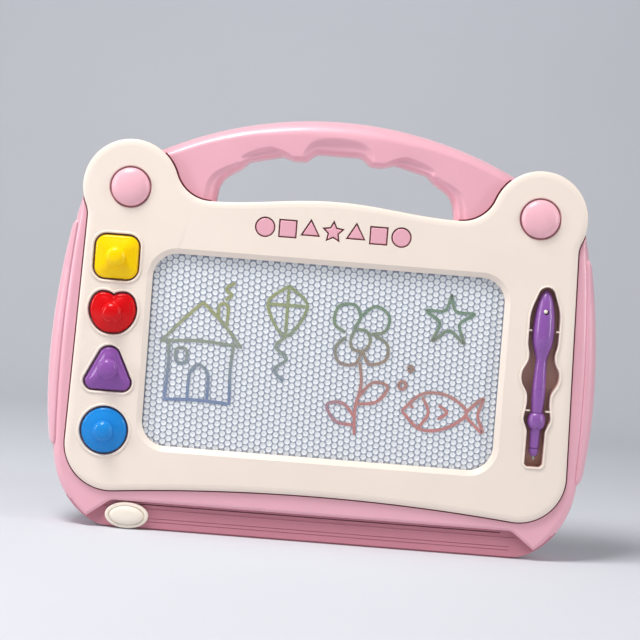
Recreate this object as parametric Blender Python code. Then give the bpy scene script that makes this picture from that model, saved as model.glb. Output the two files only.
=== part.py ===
"""Magnetic drawing board with a carrying handle, four stamps, a pen and a slide eraser.

The board stands upright on its flat lower edge. X runs to the right, Z runs up, and the drawing
side faces -Y. Depths are measured backwards from the face of the bezel. All sizes are in metres.
"""
import math

import bmesh
import bpy
from mathutils import Matrix, Vector

# Board through its depth, from the bezel's face backwards
BOARD_DEPTH = 0.040
PARTING_DEPTH = 0.020
BEZEL_THICKNESS = 0.003
WALL = 0.0025

# Clearances
SEAT_GAP = 0.0003
POCKET_GAP = 0.0005
PANEL_GAP = 0.0005
SLIDE_GAP = 0.0005
OVERRUN = 0.004
BOND = 0.001

# Drawing window and the bands of bezel round it
WINDOW_WIDTH = 0.2488
WINDOW_HEIGHT = 0.1364
WINDOW_CORNER = 0.0175
WINDOW_SLOPE = 0.0035
WINDOW_SLOPE_DEPTH = 0.0026
LIP_WALL = 0.0028
LIP_REACH = 0.0042
SIDE_BAND = 0.0532
TOP_BAND = 0.0386
BOTTOM_BAND = 0.0341

# Outline of the bezel
BEZEL_FOOT_Z = 0.027
BEZEL_ARCH_RISE = 0.0071
BEZEL_CORNER = 0.033
BEZEL_EDGE = 0.0022
BEZEL_CROWN_RISE = 0.0063
NECK_INSET = 0.0046
NECK_RADIUS = 0.020
EAR_RADIUS = 0.0337
EAR_OUTSET = 0.0004
EAR_LIFT = 0.0056
EAR_FILLET = 0.026

# Outline of the two shells behind the bezel
SHELL_TUCK = 0.0008
FLANK_WIDTH = 0.0074
FLANK_BULGE = 0.003
FLANK_LEAN = 0.0035
FLANK_DROP = 0.0217
CORNER_WIDTH = 0.048
CORNER_HEIGHT = 0.060
SHOULDER_WIDTH = 0.0065
SHOULDER_DEPTH = 0.0072
LOWER_SHOULDER = 0.003
REAR_ROUND = 0.007

# Grip pads on the flanks
GRIP_END_RISE = 0.0021
GRIP_CROWN = 0.0096
GRIP_END_GAP = 0.004
GRIP_FRONT_DEPTH = 0.007
GRIP_END_SET = 0.004
GRIP_END_EASE_SHARE = 0.25
GRIP_SECTION_SHARES = [(0.0, 0.0), (0.1, 0.6), (0.28, 0.9), (0.5, 1.0), (0.72, 0.9), (0.9, 0.6), (1.0, 0.0)]

# Carrying handle
HANDLE_RISE = 0.0636
HANDLE_ARC = 0.283
HANDLE_DEPTH = 0.028
HANDLE_ROUND = 0.012
HANDLE_EAR_LAP = 0.0143
HANDLE_LEG_WIDTH = 0.0455
HAND_HOLE_HEIGHT = 0.0389
WELL_EDGE = 0.0058
WELL_RISE = 0.0042
WELL_EASE_SHARE = 0.6
WELL_SCOOP_SHARE = 0.38
HAND_HOLE_CORNER_SHARES = [
    (0.200, 1.000, 0.090),
    (0.308, 0.830, 0.055),
    (0.390, 0.955, 0.060),
    (0.728, 0.776, 0.035),
    (0.781, 0.630, 0.070),
    (0.970, 0.410, 0.200),
]
WELL_PLACE_SHARES = [(0.0, 0.27, 1.0), (0.56, 0.19, 0.9), (0.94, 0.17, 0.6)]

# Eraser channel along the lower edge
CHANNEL_TOP_Z = 0.020
CHANNEL_REACH = 0.0176
CHANNEL_END_RUN = 0.016
CHANNEL_END_Z = 0.008
CHANNEL_CORNER = 0.009
CHANNEL_DEPTH = 0.0085
CHANNEL_BROW = 0.003
SLOT_GAP = 0.0005
SLOT_DROP = 0.0024
GROOVE_COUNT = 3
GROOVE_PITCH = 0.0034
GROOVE_LOW_Z = 0.0046
GROOVE_HEIGHT = 0.0008
GROOVE_DEPTH = 0.0006
KNOB_FOOT_GAP = 0.0005
KNOB_TOP_GAP = 0.0009
KNOB_END_GAP = 0.0115
KNOB_FLANGE_HALF_WIDTH = 0.0154
KNOB_DOME_HALF_WIDTH = 0.0121
KNOB_DOME_HALF_HEIGHT = 0.0067
KNOB_FLANGE_FRONT = 0.0042
KNOB_TOP_DEPTH = 0.0016
KNOB_RING_WIDTH = 0.0010
KNOB_GROOVE_DEPTH = 0.0008
KNOB_STEM_WIDTH = 0.008
KNOB_STEM_HEIGHT = 0.0014

# Eraser carriage and its magnet strip
ERASER_BAR_PARK = 0.0029
ERASER_BAR_WIDTH = 0.007
CARRIAGE_THICKNESS = 0.003
CARRIAGE_FOOT_WIDTH = 0.018
CARRIAGE_FOOT_BOTTOM = 0.0060
CARRIAGE_FOOT_CAP = 0.0059
CARRIAGE_TOP_LAP = 0.007
ERASER_MAGNET_THICKNESS = 0.0025
ERASER_MAGNET_WIDTH = 0.005
ERASER_MAGNET_AIR = 0.0005
RUNNER_THICKNESS = 0.002
RUNNER_REACH = 0.0156
RUNNER_LOW_RISE = 0.010
RUNNER_HIGH_RISE = 0.002
GUIDE_HALF_HEIGHT = 0.003
GUIDE_THICKNESS = 0.002

# Magnetic panel
PANEL_OVERLAP_X = 0.0041
PANEL_OVERLAP_Z = 0.0036
PANEL_CORNER = 0.004
SHEET_THICKNESS = 0.0005
HONEYCOMB_THICKNESS = 0.0019
RAIL_THICKNESS = 0.0027
RAIL_LAP = 0.003
RAIL_WALL = 0.002

# Stamps, their pockets and magnets
STAMP_SHIFT = 0.0006
STAMP_SIZE = 0.0336
STAMP_SQUARE_SIZE = 0.0320
STAMP_SQUARE_CORNER = 0.0085
STAMP_TRIANGLE_HEIGHT = 0.0318
STAMP_TRIANGLE_TIP = 0.0085
STAMP_TRIANGLE_FOOT = 0.0065
STAMP_HEART_HEIGHT = 0.0296
STAMP_FLOOR_DEPTH = 0.0070
STAMP_RIM_DEPTH = 0.0006
STAMP_DOME = 0.0024
STAMP_KNOB_RADIUS = 0.0062
STAMP_KNOB_REACH = 0.010
STAMP_MAGNET_RADIUS = 0.0085
STAMP_MAGNET_THICKNESS = 0.002
STAMP_LIFT = 0.030
POCKET_RIM_WIDTH = 0.0018
POCKET_RIM_HEIGHT = 0.0008
TRAY_WALL = 0.0015
STAMP_KINDS = ["circle", "triangle", "heart", "square"]
STAMP_SPACE_SHARES = [0.3505, 0.1516, 0.1209, 0.1147]
HEART_HALF_SHARES = [
    (0.00, 0.425), (0.14, 0.470), (0.36, 0.500), (0.64, 0.475), (0.88, 0.345), (1.00, 0.105),
    (0.94, -0.120), (0.74, -0.320), (0.46, -0.450), (0.17, -0.500),
]
DOME_RING_SHARES = [(0.0, 0.0), (0.05, 0.5), (0.14, 0.8), (0.28, 1.0)]
STAMP_KNOB_SHARES = [
    (1.1, 0.0), (1.1, 0.12), (1.0, 0.2), (1.0, 0.55), (0.95, 0.75), (0.82, 0.9), (0.55, 0.98),
]

# Pen and its well
PEN_SHIFT = 0.0024
PEN_AXIS_DEPTH = 0.0045
PEN_TOP_SHARE = 0.963
PEN_BARREL_LENGTH = 0.0868
PEN_BELLY_RADIUS = 0.0080
PEN_BARREL_SHARES = [
    (0.000, 0.56), (0.020, 0.56), (0.045, 0.65), (0.110, 0.67), (0.200, 0.59), (0.410, 0.56), (0.460, 0.63),
    (0.510, 0.81), (0.570, 0.96), (0.660, 1.00), (0.760, 0.98), (0.850, 0.85), (0.930, 0.64), (0.975, 0.44),
]
PEN_COLLAR_RADIUS = 0.0065
PEN_COLLAR_LENGTH = 0.011
PEN_NOSE_LENGTH = 0.0195
PEN_NOSE_RADIUS = 0.0041
PEN_TIP_RADIUS = 0.0026
PEN_SPIGOT_RADIUS = 0.0022
PEN_SPIGOT_LENGTH = 0.008
PEN_NIB_RADIUS = 0.0011
PEN_NIB_REACH = 0.003
PEN_NIB_SEAT = 0.006
PEN_STRING_HOLE = 0.0013
PEN_STRING_SHARE = 0.82
PEN_LIFT = 0.030
PEN_FLOOR_GAP = 0.0005
WELL_BELLY_ROOM = 0.0027
WELL_WAIST_ROOM = 0.0041
WELL_FINGER_ROOM = 0.0052
WELL_BALL_ROOM = 0.0033
WELL_FOOT_ROOM = 0.0024
WELL_CROWN_NARROWING = 0.0065
WELL_TOP_GAP = 0.0018
WELL_FOOT_GAP = 0.0046
WELL_ROUND = 0.010
WELL_SHAPE_SHARES = [
    ("foot", 0.000, 0.3), ("foot", 0.200, 0.4), ("ball", 0.262, 0.6), ("waist", 0.345, 0.3),
    ("waist", 0.400, 0.4), ("finger", 0.455, 0.8), ("finger", 0.535, 0.8),
    ("waist", 0.610, 0.6), ("top", 0.680, 2.0), ("top", 0.860, 3.0), ("crown", 1.000, 0.6),
]
NUB_GAP = 0.0005
NUB_HALF_HEIGHT = 0.0006
NUB_UP_SHARE = 0.758
NUB_LOW_SHARE = 0.313

# Ear caps
CAP_RADIUS = 0.0145
CAP_DOME = 0.005
CAP_GAP = 0.0005

# Row of raised shapes above the window
SHAPE_COUNT = 7
SHAPE_RADIUS = 0.0062
SHAPE_SPACE = 0.0036
SHAPE_UP_SHARE = 0.611
SHAPE_GAP = 0.0006
SHAPE_TOP_DEPTH = 0.0010
STAR_WAIST_SHARE = 0.5

# Screws that hold the two shells together
SCREW_SHANK = 0.0015
SCREW_HEAD = 0.0030
SCREW_HEAD_HEIGHT = 0.0018
SCREW_GAP = 0.0003
SCREW_BITE = 0.007
BOSS_RADIUS = 0.0042
POST_RADIUS = 0.0026
POST_REACH = 0.012
POST_BORE_END = 0.005
POST_BITE = 0.0055
SCREW_RECESS = 0.007
HANDLE_SCREW_RECESS = 0.006
SCREW_EAR_INSET = 0.0185
SCREW_EAR_DROP = 0.0215
SCREW_TOP_SPACE = 0.0178
SCREW_TOP_DROP = 0.0135
SCREW_LOW_INSET = 0.033
SCREW_LOW_Z = 0.036
SCREW_HANDLE_INSET = 0.0155
SCREW_HANDLE_RISE = 0.021

# Counts that set how finely curves are drawn
ARC_STEP = math.radians(18)
EAR_STEPS = 9
FILLET_STEPS = 5
CROWN_STEPS = 6
CORNER_STEPS = 8
FLANK_STEPS = 5
ARCH_STEPS = 4
NECK_STEPS = 2
EDGE_STEPS = 3
HANDLE_STATIONS = 25
GRIP_STATIONS = 9
ROUND_SIDES = 24
SMALL_SIDES = 12
SCREW_SIDES = 8
SMOOTH_ANGLE = math.radians(32)
MITRE_FLOOR = 0.4
WELD = 0.000001

# Places that follow from the sizes above
FRONT_DATUM = (BOARD_DEPTH - STAMP_KNOB_REACH) / 2
WINDOW_HALF_WIDTH = WINDOW_WIDTH / 2
WINDOW_BOTTOM_Z = BEZEL_FOOT_Z + BOTTOM_BAND
WINDOW_TOP_Z = WINDOW_BOTTOM_Z + WINDOW_HEIGHT
WINDOW_MID_Z = (WINDOW_BOTTOM_Z + WINDOW_TOP_Z) / 2
BOARD_TOP_Z = WINDOW_TOP_Z + TOP_BAND
BEZEL_HALF_WIDTH = WINDOW_HALF_WIDTH + SIDE_BAND
BODY_HALF_WIDTH = BEZEL_HALF_WIDTH + FLANK_WIDTH
EAR_X = BEZEL_HALF_WIDTH + EAR_OUTSET - EAR_RADIUS
EAR_Z = BOARD_TOP_Z + EAR_LIFT
FLANK_TOP_Z = EAR_Z - FLANK_DROP
HAND_HOLE_HALF_WIDTH = EAR_X - HANDLE_EAR_LAP - HANDLE_LEG_WIDTH
MARGIN_X = (WINDOW_HALF_WIDTH + BEZEL_HALF_WIDTH) / 2
STAMP_X = -MARGIN_X + STAMP_SHIFT
PEN_X = MARGIN_X + PEN_SHIFT
DECK_FRONT = BEZEL_THICKNESS + SEAT_GAP
DECK_BACK = DECK_FRONT + WALL
PANEL_FRONT = LIP_REACH + SEAT_GAP
HONEYCOMB_FRONT = PANEL_FRONT + SHEET_THICKNESS + SEAT_GAP
BACK_SHEET_FRONT = HONEYCOMB_FRONT + HONEYCOMB_THICKNESS + SEAT_GAP
PANEL_BACK = BACK_SHEET_FRONT + SHEET_THICKNESS
RAIL_FRONT = PANEL_BACK + SEAT_GAP
RAIL_BACK = RAIL_FRONT + RAIL_THICKNESS
CHANNEL_WALL_BACK = CHANNEL_DEPTH + WALL
STRIP_BACK = PANEL_BACK + ERASER_MAGNET_AIR + ERASER_MAGNET_THICKNESS
CARRIAGE_FRONT = max(RAIL_BACK, CHANNEL_WALL_BACK, STRIP_BACK) + SEAT_GAP
CARRIAGE_BACK = CARRIAGE_FRONT + CARRIAGE_THICKNESS
REAR_WALL_FRONT = BOARD_DEPTH - WALL
FRONT_SHELL_BACK = PARTING_DEPTH - SEAT_GAP / 2
REAR_SHELL_FRONT = PARTING_DEPTH + SEAT_GAP / 2
PEN_TOP_Z = WINDOW_BOTTOM_Z + WINDOW_HEIGHT * PEN_TOP_SHARE
PEN_BARREL_FOOT_Z = PEN_TOP_Z - PEN_BARREL_LENGTH
PEN_COLLAR_FOOT_Z = PEN_BARREL_FOOT_Z - SEAT_GAP - PEN_COLLAR_LENGTH
PEN_TIP_Z = PEN_COLLAR_FOOT_Z - PEN_NOSE_LENGTH
PEN_WELL_FLOOR = PEN_AXIS_DEPTH + PEN_BELLY_RADIUS + PEN_FLOOR_GAP
CHANNEL_HALF_WIDTH = WINDOW_HALF_WIDTH + CHANNEL_REACH
SLOT_Z = CHANNEL_TOP_Z - SLOT_DROP
KNOB_FLANGE_HALF_HEIGHT = (CHANNEL_TOP_Z - KNOB_TOP_GAP - KNOB_FOOT_GAP) / 2
KNOB_Z = KNOB_FOOT_GAP + KNOB_FLANGE_HALF_HEIGHT
KNOB_START_X = -(CHANNEL_HALF_WIDTH - KNOB_END_GAP)
ERASER_TRAVEL = -2 * KNOB_START_X
ERASER_BAR_X = -(WINDOW_HALF_WIDTH + ERASER_BAR_PARK)
SHAPE_PITCH = 2 * SHAPE_RADIUS + SHAPE_SPACE
SCREW_TOP_X = (SHAPE_COUNT - 1) / 2 * SHAPE_PITCH + SHAPE_RADIUS + SCREW_TOP_SPACE
SCREW_HANDLE_X = HAND_HOLE_HALF_WIDTH + SCREW_HANDLE_INSET
SCREW_SEAT_DEPTH = BOARD_DEPTH - SCREW_RECESS
HANDLE_SCREW_SEAT_DEPTH = PARTING_DEPTH + HANDLE_DEPTH / 2 - HANDLE_SCREW_RECESS
WELL_TOP_Z = PEN_TOP_Z + WELL_TOP_GAP
WELL_FOOT_Z = PEN_TIP_Z - PEN_NIB_REACH - WELL_FOOT_GAP

# Colours as red, green and blue out of 255
CREAM = (238, 229, 216)
PINK = (226, 166, 184)
YELLOW = (245, 208, 20)
RED = (214, 26, 32)
PURPLE = (136, 74, 168)
PEN_PURPLE = (112, 50, 146)
BLUE = (36, 122, 202)
SCREEN_WHITE = (236, 240, 243)
HONEYCOMB_GREY = (196, 204, 212)
BACK_SHEET_WHITE = (226, 228, 228)
MAGNET_GREY = (58, 56, 54)
STEEL = (176, 178, 180)


def clear_scene():
    """Remove every object, so that the model starts from nothing."""
    for old in list(bpy.data.objects):
        bpy.data.objects.remove(old, do_unlink=True)


def linear(channel):
    """Turn one colour value out of 255 into the linear value that a shader takes."""
    share = channel / 255
    if share <= 0.04045:
        return share / 12.92
    return ((share + 0.055) / 1.055) ** 2.4


def material(name, colour, roughness, metallic=0.0):
    """A plain surface of one colour."""
    made = bpy.data.materials.new(name)
    made.use_nodes = True
    shader = made.node_tree.nodes["Principled BSDF"]
    shader.inputs["Base Color"].default_value = (*[linear(c) for c in colour], 1.0)
    shader.inputs["Roughness"].default_value = roughness
    shader.inputs["Metallic"].default_value = metallic
    return made


def world_y(depth):
    """The Y place of a depth behind the bezel's face."""
    return depth - FRONT_DATUM


# Outlines are lists of (x, z) points that run anticlockwise as seen from the front

def arc(centre, radius_x, radius_z, start, end, steps):
    """Points on an ellipse between two angles, with both ends."""
    points = []
    for k in range(steps + 1):
        angle = start + (end - start) * k / steps
        points.append((centre[0] + radius_x * math.cos(angle), centre[1] + radius_z * math.sin(angle)))
    return points


def circle(centre, radius, sides):
    """A closed round outline."""
    return arc(centre, radius, radius, 0.0, math.tau, sides)[:-1]


def rounded(corners):
    """A closed outline whose corners (x, z, radius) are turned into arcs."""
    points = []
    for k, (x, z, radius) in enumerate(corners):
        corner = Vector((x, z))
        before = (Vector(corners[k - 1][:2]) - corner).normalized()
        after = (Vector(corners[(k + 1) % len(corners)][:2]) - corner).normalized()
        half = before.angle(after) / 2
        if radius <= 0 or half > math.radians(89):
            points.append((x, z))
            continue
        centre = corner + (before + after).normalized() * (radius / math.sin(half))
        spoke = corner + before * (radius / math.tan(half)) - centre
        turn = math.pi - 2 * half
        side = 1 if (-before).cross(after) > 0 else -1
        steps = max(1, math.ceil(turn / ARC_STEP))
        for j in range(steps + 1):
            place = centre + Matrix.Rotation(side * turn * j / steps, 2) @ spoke
            points.append((place.x, place.y))
    return points


def box_outline(x0, x1, z0, z1, corner=0.0):
    """A rectangle, with its corners rounded if a radius is given."""
    return rounded([(x0, z0, corner), (x1, z0, corner), (x1, z1, corner), (x0, z1, corner)])


def inset(outline, distance):
    """Move an outline inwards by a distance, or by one distance for each point."""
    count = len(outline)
    distances = distance if isinstance(distance, list) else [distance] * count
    moved = []
    for k in range(count):
        here = Vector(outline[k])
        into = (here - Vector(outline[k - 1])).normalized()
        out = (Vector(outline[(k + 1) % count]) - here).normalized()
        first = Vector((-into.y, into.x))
        second = Vector((-out.y, out.x))
        mitre = (first + second).normalized()
        stretch = 1 / max(mitre.dot(first), MITRE_FLOOR)
        place = here + mitre * distances[k] * stretch
        moved.append((place.x, place.y))
    return moved


def shifted(outline, x, z):
    """Move an outline sideways and up."""
    return [(px + x, pz + z) for px, pz in outline]


def mirrored_whole(right):
    """Close a right half, which runs from the lower centre to the upper centre, with its mirror image."""
    left = [(-x, z) for x, z in reversed(right[1:-1])]
    return right + left


def resampled(points, count):
    """Spread a number of points evenly along an open line of points."""
    lengths = [0.0]
    for a, b in zip(points, points[1:]):
        lengths.append(lengths[-1] + math.dist(a, b))
    spread = []
    j = 0
    for k in range(count):
        wanted = lengths[-1] * k / (count - 1)
        while j < len(points) - 2 and lengths[j + 1] < wanted:
            j += 1
        share = (wanted - lengths[j]) / (lengths[j + 1] - lengths[j])
        a = points[j]
        b = points[j + 1]
        spread.append((a[0] + (b[0] - a[0]) * share, a[1] + (b[1] - a[1]) * share))
    return spread


def top_edge(inset_by):
    """Right half of the edge between the ears, from the ear's outer side to the upper centre."""
    ear = EAR_RADIUS - inset_by
    fillet = EAR_FILLET + inset_by
    fillet_z = BOARD_TOP_Z + EAR_FILLET
    fillet_x = EAR_X - math.sqrt((ear + fillet) ** 2 - (fillet_z - EAR_Z) ** 2)
    meet = math.atan2(fillet_z - EAR_Z, fillet_x - EAR_X)
    points = arc((fillet_x, fillet_z), fillet, fillet, meet - math.pi, -math.pi / 2, FILLET_STEPS)[1:]
    for k in range(1, CROWN_STEPS + 1):
        share = k / CROWN_STEPS
        rise = BEZEL_CROWN_RISE * (1 - math.cos(math.pi * share)) / 2
        points.append((fillet_x * (1 - share), BOARD_TOP_Z - inset_by + rise))
    return meet, points


def bezel_outline():
    """Outer edge of the bezel: arched lower edge, round corners, leaning sides and two ears."""
    corner_x = BEZEL_HALF_WIDTH - BEZEL_CORNER
    corner_z = BEZEL_FOOT_Z + BEZEL_CORNER
    sink = BEZEL_CORNER - BEZEL_ARCH_RISE
    arch = (corner_x ** 2 + sink ** 2 - BEZEL_CORNER ** 2) / (2 * BEZEL_ARCH_RISE)
    lean = math.asin(corner_x / (arch + BEZEL_CORNER))
    arch_centre = (0.0, BEZEL_FOOT_Z + BEZEL_ARCH_RISE - arch)
    right = arc(arch_centre, arch, arch, math.pi / 2, math.pi / 2 - lean, ARCH_STEPS)
    right += arc((corner_x, corner_z), BEZEL_CORNER, BEZEL_CORNER, -math.pi / 2 - lean, 0.0, CORNER_STEPS)[1:]
    neck_x = BEZEL_HALF_WIDTH - NECK_INSET + NECK_RADIUS
    reach = EAR_RADIUS + NECK_RADIUS
    neck_z = EAR_Z - math.sqrt(reach ** 2 - (neck_x - EAR_X) ** 2)
    neck_turn = math.atan2(EAR_Z - neck_z, neck_x - EAR_X)
    neck = arc((neck_x, neck_z), NECK_RADIUS, NECK_RADIUS, math.pi, math.pi - neck_turn, NECK_STEPS)
    meet, top = top_edge(0.0)
    ear = arc((EAR_X, EAR_Z), EAR_RADIUS, EAR_RADIUS, -neck_turn, meet, EAR_STEPS)[1:]
    return mirrored_whole(right + neck + ear + top)


def body_outline():
    """Outer edge of the two shells, with the width of the front shoulder at each point."""
    right = [(0.0, 0.0)]
    shoulder = [LOWER_SHOULDER]
    corner_x = BODY_HALF_WIDTH - CORNER_WIDTH
    corner = arc((corner_x, CORNER_HEIGHT), CORNER_WIDTH, CORNER_HEIGHT, -math.pi / 2, 0.0, CORNER_STEPS)
    for k, place in enumerate(corner):
        share = min(1.0, 2 * k / CORNER_STEPS)
        right.append(place)
        shoulder.append(LOWER_SHOULDER + (SHOULDER_WIDTH - LOWER_SHOULDER) * share)
    for k in range(1, FLANK_STEPS + 1):
        share = k / FLANK_STEPS
        right.append((flank_x(share), flank_z(share)))
        shoulder.append(SHOULDER_WIDTH)
    ear = EAR_RADIUS - SHELL_TUCK
    meet, top = top_edge(SHELL_TUCK)
    for place in arc((EAR_X, EAR_Z), ear, ear, math.radians(-8), meet, EAR_STEPS) + top:
        right.append(place)
        shoulder.append(0.0)
    return mirrored_whole(right), shoulder + list(reversed(shoulder[1:-1]))


def flank_x(share):
    """Half-width of the flank, from its lower end at 0 to its upper end at 1."""
    return BODY_HALF_WIDTH - FLANK_LEAN * share + FLANK_BULGE * 4 * share * (1 - share)


def flank_z(share):
    """Height of the flank, from its lower end at 0 to its upper end at 1."""
    return CORNER_HEIGHT + (FLANK_TOP_Z - CORNER_HEIGHT) * share


def window_outline():
    """Edge of the drawing window."""
    return box_outline(-WINDOW_HALF_WIDTH, WINDOW_HALF_WIDTH, WINDOW_BOTTOM_Z, WINDOW_TOP_Z, WINDOW_CORNER)


def panel_outline():
    """Edge of the magnetic panel, which reaches behind the window's lip."""
    half = WINDOW_HALF_WIDTH + PANEL_OVERLAP_X
    low = WINDOW_BOTTOM_Z - PANEL_OVERLAP_Z
    return box_outline(-half, half, low, WINDOW_TOP_Z + PANEL_OVERLAP_Z, PANEL_CORNER)


def channel_outline():
    """Edge of the eraser's channel, open downwards, with slanting ends."""
    run = CHANNEL_HALF_WIDTH + CHANNEL_END_RUN
    slope = CHANNEL_END_RUN / (CHANNEL_TOP_Z - CHANNEL_END_Z)
    far = run + slope * (CHANNEL_END_Z + OVERRUN)
    return rounded([
        (-far, -OVERRUN, 0.0), (far, -OVERRUN, 0.0), (run, CHANNEL_END_Z, 0.0),
        (CHANNEL_HALF_WIDTH, CHANNEL_TOP_Z, CHANNEL_CORNER),
        (-CHANNEL_HALF_WIDTH, CHANNEL_TOP_Z, CHANNEL_CORNER), (-run, CHANNEL_END_Z, 0.0),
    ])


def stamp_outline(kind):
    """Outline of a stamp round its own centre."""
    half = STAMP_SIZE / 2
    if kind == "circle":
        return circle((0.0, 0.0), half, ROUND_SIDES)
    if kind == "square":
        side = STAMP_SQUARE_SIZE / 2
        return box_outline(-side, side, -side, side, STAMP_SQUARE_CORNER)
    if kind == "triangle":
        return triangle_outline(half)
    right = [(half * x, STAMP_HEART_HEIGHT * z) for x, z in reversed(HEART_HALF_SHARES)]
    left = [(-x, z) for x, z in reversed(right[:-1])]
    return right + left


def triangle_outline(half):
    """A triangle with a round tip and feet that just reach the stamp's width and height."""
    low = -STAMP_TRIANGLE_HEIGHT / 2
    tip_centre_z = -low - STAMP_TRIANGLE_TIP
    foot_centre_x = half - STAMP_TRIANGLE_FOOT
    foot_centre_z = low + STAMP_TRIANGLE_FOOT
    rise = tip_centre_z - foot_centre_z
    run = foot_centre_x
    tilt = math.atan2(rise, run)
    lead = math.asin((STAMP_TRIANGLE_TIP - STAMP_TRIANGLE_FOOT) / math.hypot(rise, run))
    side = math.pi / 2 - tilt + lead
    right = arc((foot_centre_x, foot_centre_z), STAMP_TRIANGLE_FOOT, STAMP_TRIANGLE_FOOT,
                -math.pi / 2, side, CORNER_STEPS)
    tip = arc((0.0, tip_centre_z), STAMP_TRIANGLE_TIP, STAMP_TRIANGLE_TIP, side, math.pi - side, CORNER_STEPS)
    left = [(-x, z) for x, z in reversed(right)]
    return right + tip + left


def well_outline():
    """Edge of the pen's well, with room for a fingertip on both sides of the waist."""
    top = PEN_BELLY_RADIUS + WELL_BELLY_ROOM
    waist = PEN_NOSE_RADIUS + WELL_WAIST_ROOM
    halves = {"foot": PEN_NOSE_RADIUS + WELL_FOOT_ROOM, "ball": PEN_COLLAR_RADIUS + WELL_BALL_ROOM, "waist": waist,
              "finger": waist + WELL_FINGER_ROOM, "top": top, "crown": top - WELL_CROWN_NARROWING}
    height = WELL_TOP_Z - WELL_FOOT_Z
    right = [(PEN_X + halves[place], WELL_FOOT_Z + height * up, WELL_ROUND * wide)
             for place, up, wide in WELL_SHAPE_SHARES]
    left = [(2 * PEN_X - x, z, radius) for x, z, radius in reversed(right)]
    return rounded(right + left)


def shape_outline(index):
    """Outline of one of the raised shapes, round its own centre."""
    radius = SHAPE_RADIUS
    if index in (0, 6):
        return circle((0.0, 0.0), radius, SMALL_SIDES)
    if index in (1, 5):
        side = radius * math.sqrt(math.pi) / 2
        return box_outline(-side, side, -side, side)
    if index in (2, 4):
        return [(radius * math.sin(a), -radius * math.cos(a)) for a in (math.pi / 3, math.pi, math.tau * 5 / 6)]
    points = []
    for k in range(10):
        reach = radius if k % 2 == 0 else radius * STAR_WAIST_SHARE
        angle = math.pi / 2 + math.tau * k / 10
        points.append((reach * math.cos(angle), reach * math.sin(angle)))
    return points


# Solids

def solid_from_rings(name, rings, closed=False):
    """Join rings of (x, y, z) points into one closed solid; the first and last get caps."""
    shape = bmesh.new()
    loops = [[shape.verts.new(point) for point in ring] for ring in rings]
    count = len(loops[0])
    pairs = list(zip(loops, loops[1:]))
    if closed:
        pairs.append((loops[-1], loops[0]))
    for low, high in pairs:
        for k in range(count):
            j = (k + 1) % count
            shape.faces.new((low[k], low[j], high[j], high[k]))
    if not closed:
        shape.faces.new(loops[0])
        shape.faces.new(loops[-1])
    bmesh.ops.recalc_face_normals(shape, faces=shape.faces)
    mesh = bpy.data.meshes.new(name)
    shape.to_mesh(mesh)
    shape.free()
    made = bpy.data.objects.new(name, mesh)
    bpy.context.scene.collection.objects.link(made)
    return made


def stack(name, layers):
    """A solid through outlines at given depths, front to back or back to front."""
    return solid_from_rings(name, [[(x, world_y(depth), z) for x, z in outline] for outline, depth in layers])


def prism(name, outline, front, back):
    """An outline pushed straight through the depth."""
    return stack(name, [(outline, front), (outline, back)])


def turned(name, profile, place, axis, sides):
    """A solid of revolution: profile of (radius, distance) pairs along +Z or +Y from a place."""
    rings = []
    for radius, along in profile:
        ring = []
        for k in range(sides):
            angle = math.tau * k / sides
            across = (radius * math.cos(angle), radius * math.sin(angle))
            if axis == "Z":
                ring.append((place[0] + across[0], place[1] + across[1], place[2] + along))
            else:
                ring.append((place[0] + across[0], place[1] + along, place[2] + across[1]))
        rings.append(ring)
    return solid_from_rings(name, rings)


def combine(target, tool, operation):
    """Apply one Boolean step to the target and remove the tool."""
    step = target.modifiers.new(operation, "BOOLEAN")
    step.operation = operation
    step.solver = "EXACT"
    step.object = tool
    graph = bpy.context.evaluated_depsgraph_get()
    result = bpy.data.meshes.new_from_object(target.evaluated_get(graph))
    target.modifiers.clear()
    old = target.data
    target.data = result
    bpy.data.meshes.remove(old)
    bpy.data.objects.remove(tool, do_unlink=True)
    return target


def cut(target, tool):
    """Take the tool's volume out of the target."""
    return combine(target, tool, "DIFFERENCE")


def join(target, tool):
    """Fuse the tool with the target."""
    return combine(target, tool, "UNION")


def keep(target, tool):
    """Keep only what the target shares with the tool."""
    return combine(target, tool, "INTERSECT")


def finish(made, name, surface, parent=None):
    """Name a piece, give it its surface and smooth shading, and hang it on its parent."""
    shape = bmesh.new()
    shape.from_mesh(made.data)
    bmesh.ops.remove_doubles(shape, verts=shape.verts, dist=WELD)
    bmesh.ops.dissolve_degenerate(shape, edges=shape.edges, dist=WELD)
    shape.to_mesh(made.data)
    shape.free()
    made.name = name
    made.data.name = name
    made.data.materials.clear()
    made.data.materials.append(surface)
    made.data.shade_smooth()
    made.data.set_sharp_from_angle(angle=SMOOTH_ANGLE)
    if parent:
        made.data.transform(Matrix.Translation(-parent.location))
        made.parent = parent
    return made


def mover(name, x, depth, z):
    """An empty at the place that a moving piece is measured from."""
    made = bpy.data.objects.new(name, None)
    made.location = (x, world_y(depth), z)
    bpy.context.scene.collection.objects.link(made)
    return made


# Bezel

def rim(outline):
    """A low rounded rim that stands on the bezel round a pocket."""
    outer = inset(outline, -POCKET_RIM_WIDTH)
    crest = inset(outline, -POCKET_RIM_WIDTH * 0.55)
    return stack("rim", [(outer, BOND), (outer, -POCKET_RIM_HEIGHT * 0.3), (crest, -POCKET_RIM_HEIGHT)])


def pocket_outline(kind):
    """Edge of a stamp's pocket in the bezel and the deck."""
    return inset(shifted(stamp_outline(kind), STAMP_X, stamp_z(kind)), -POCKET_GAP)


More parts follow.
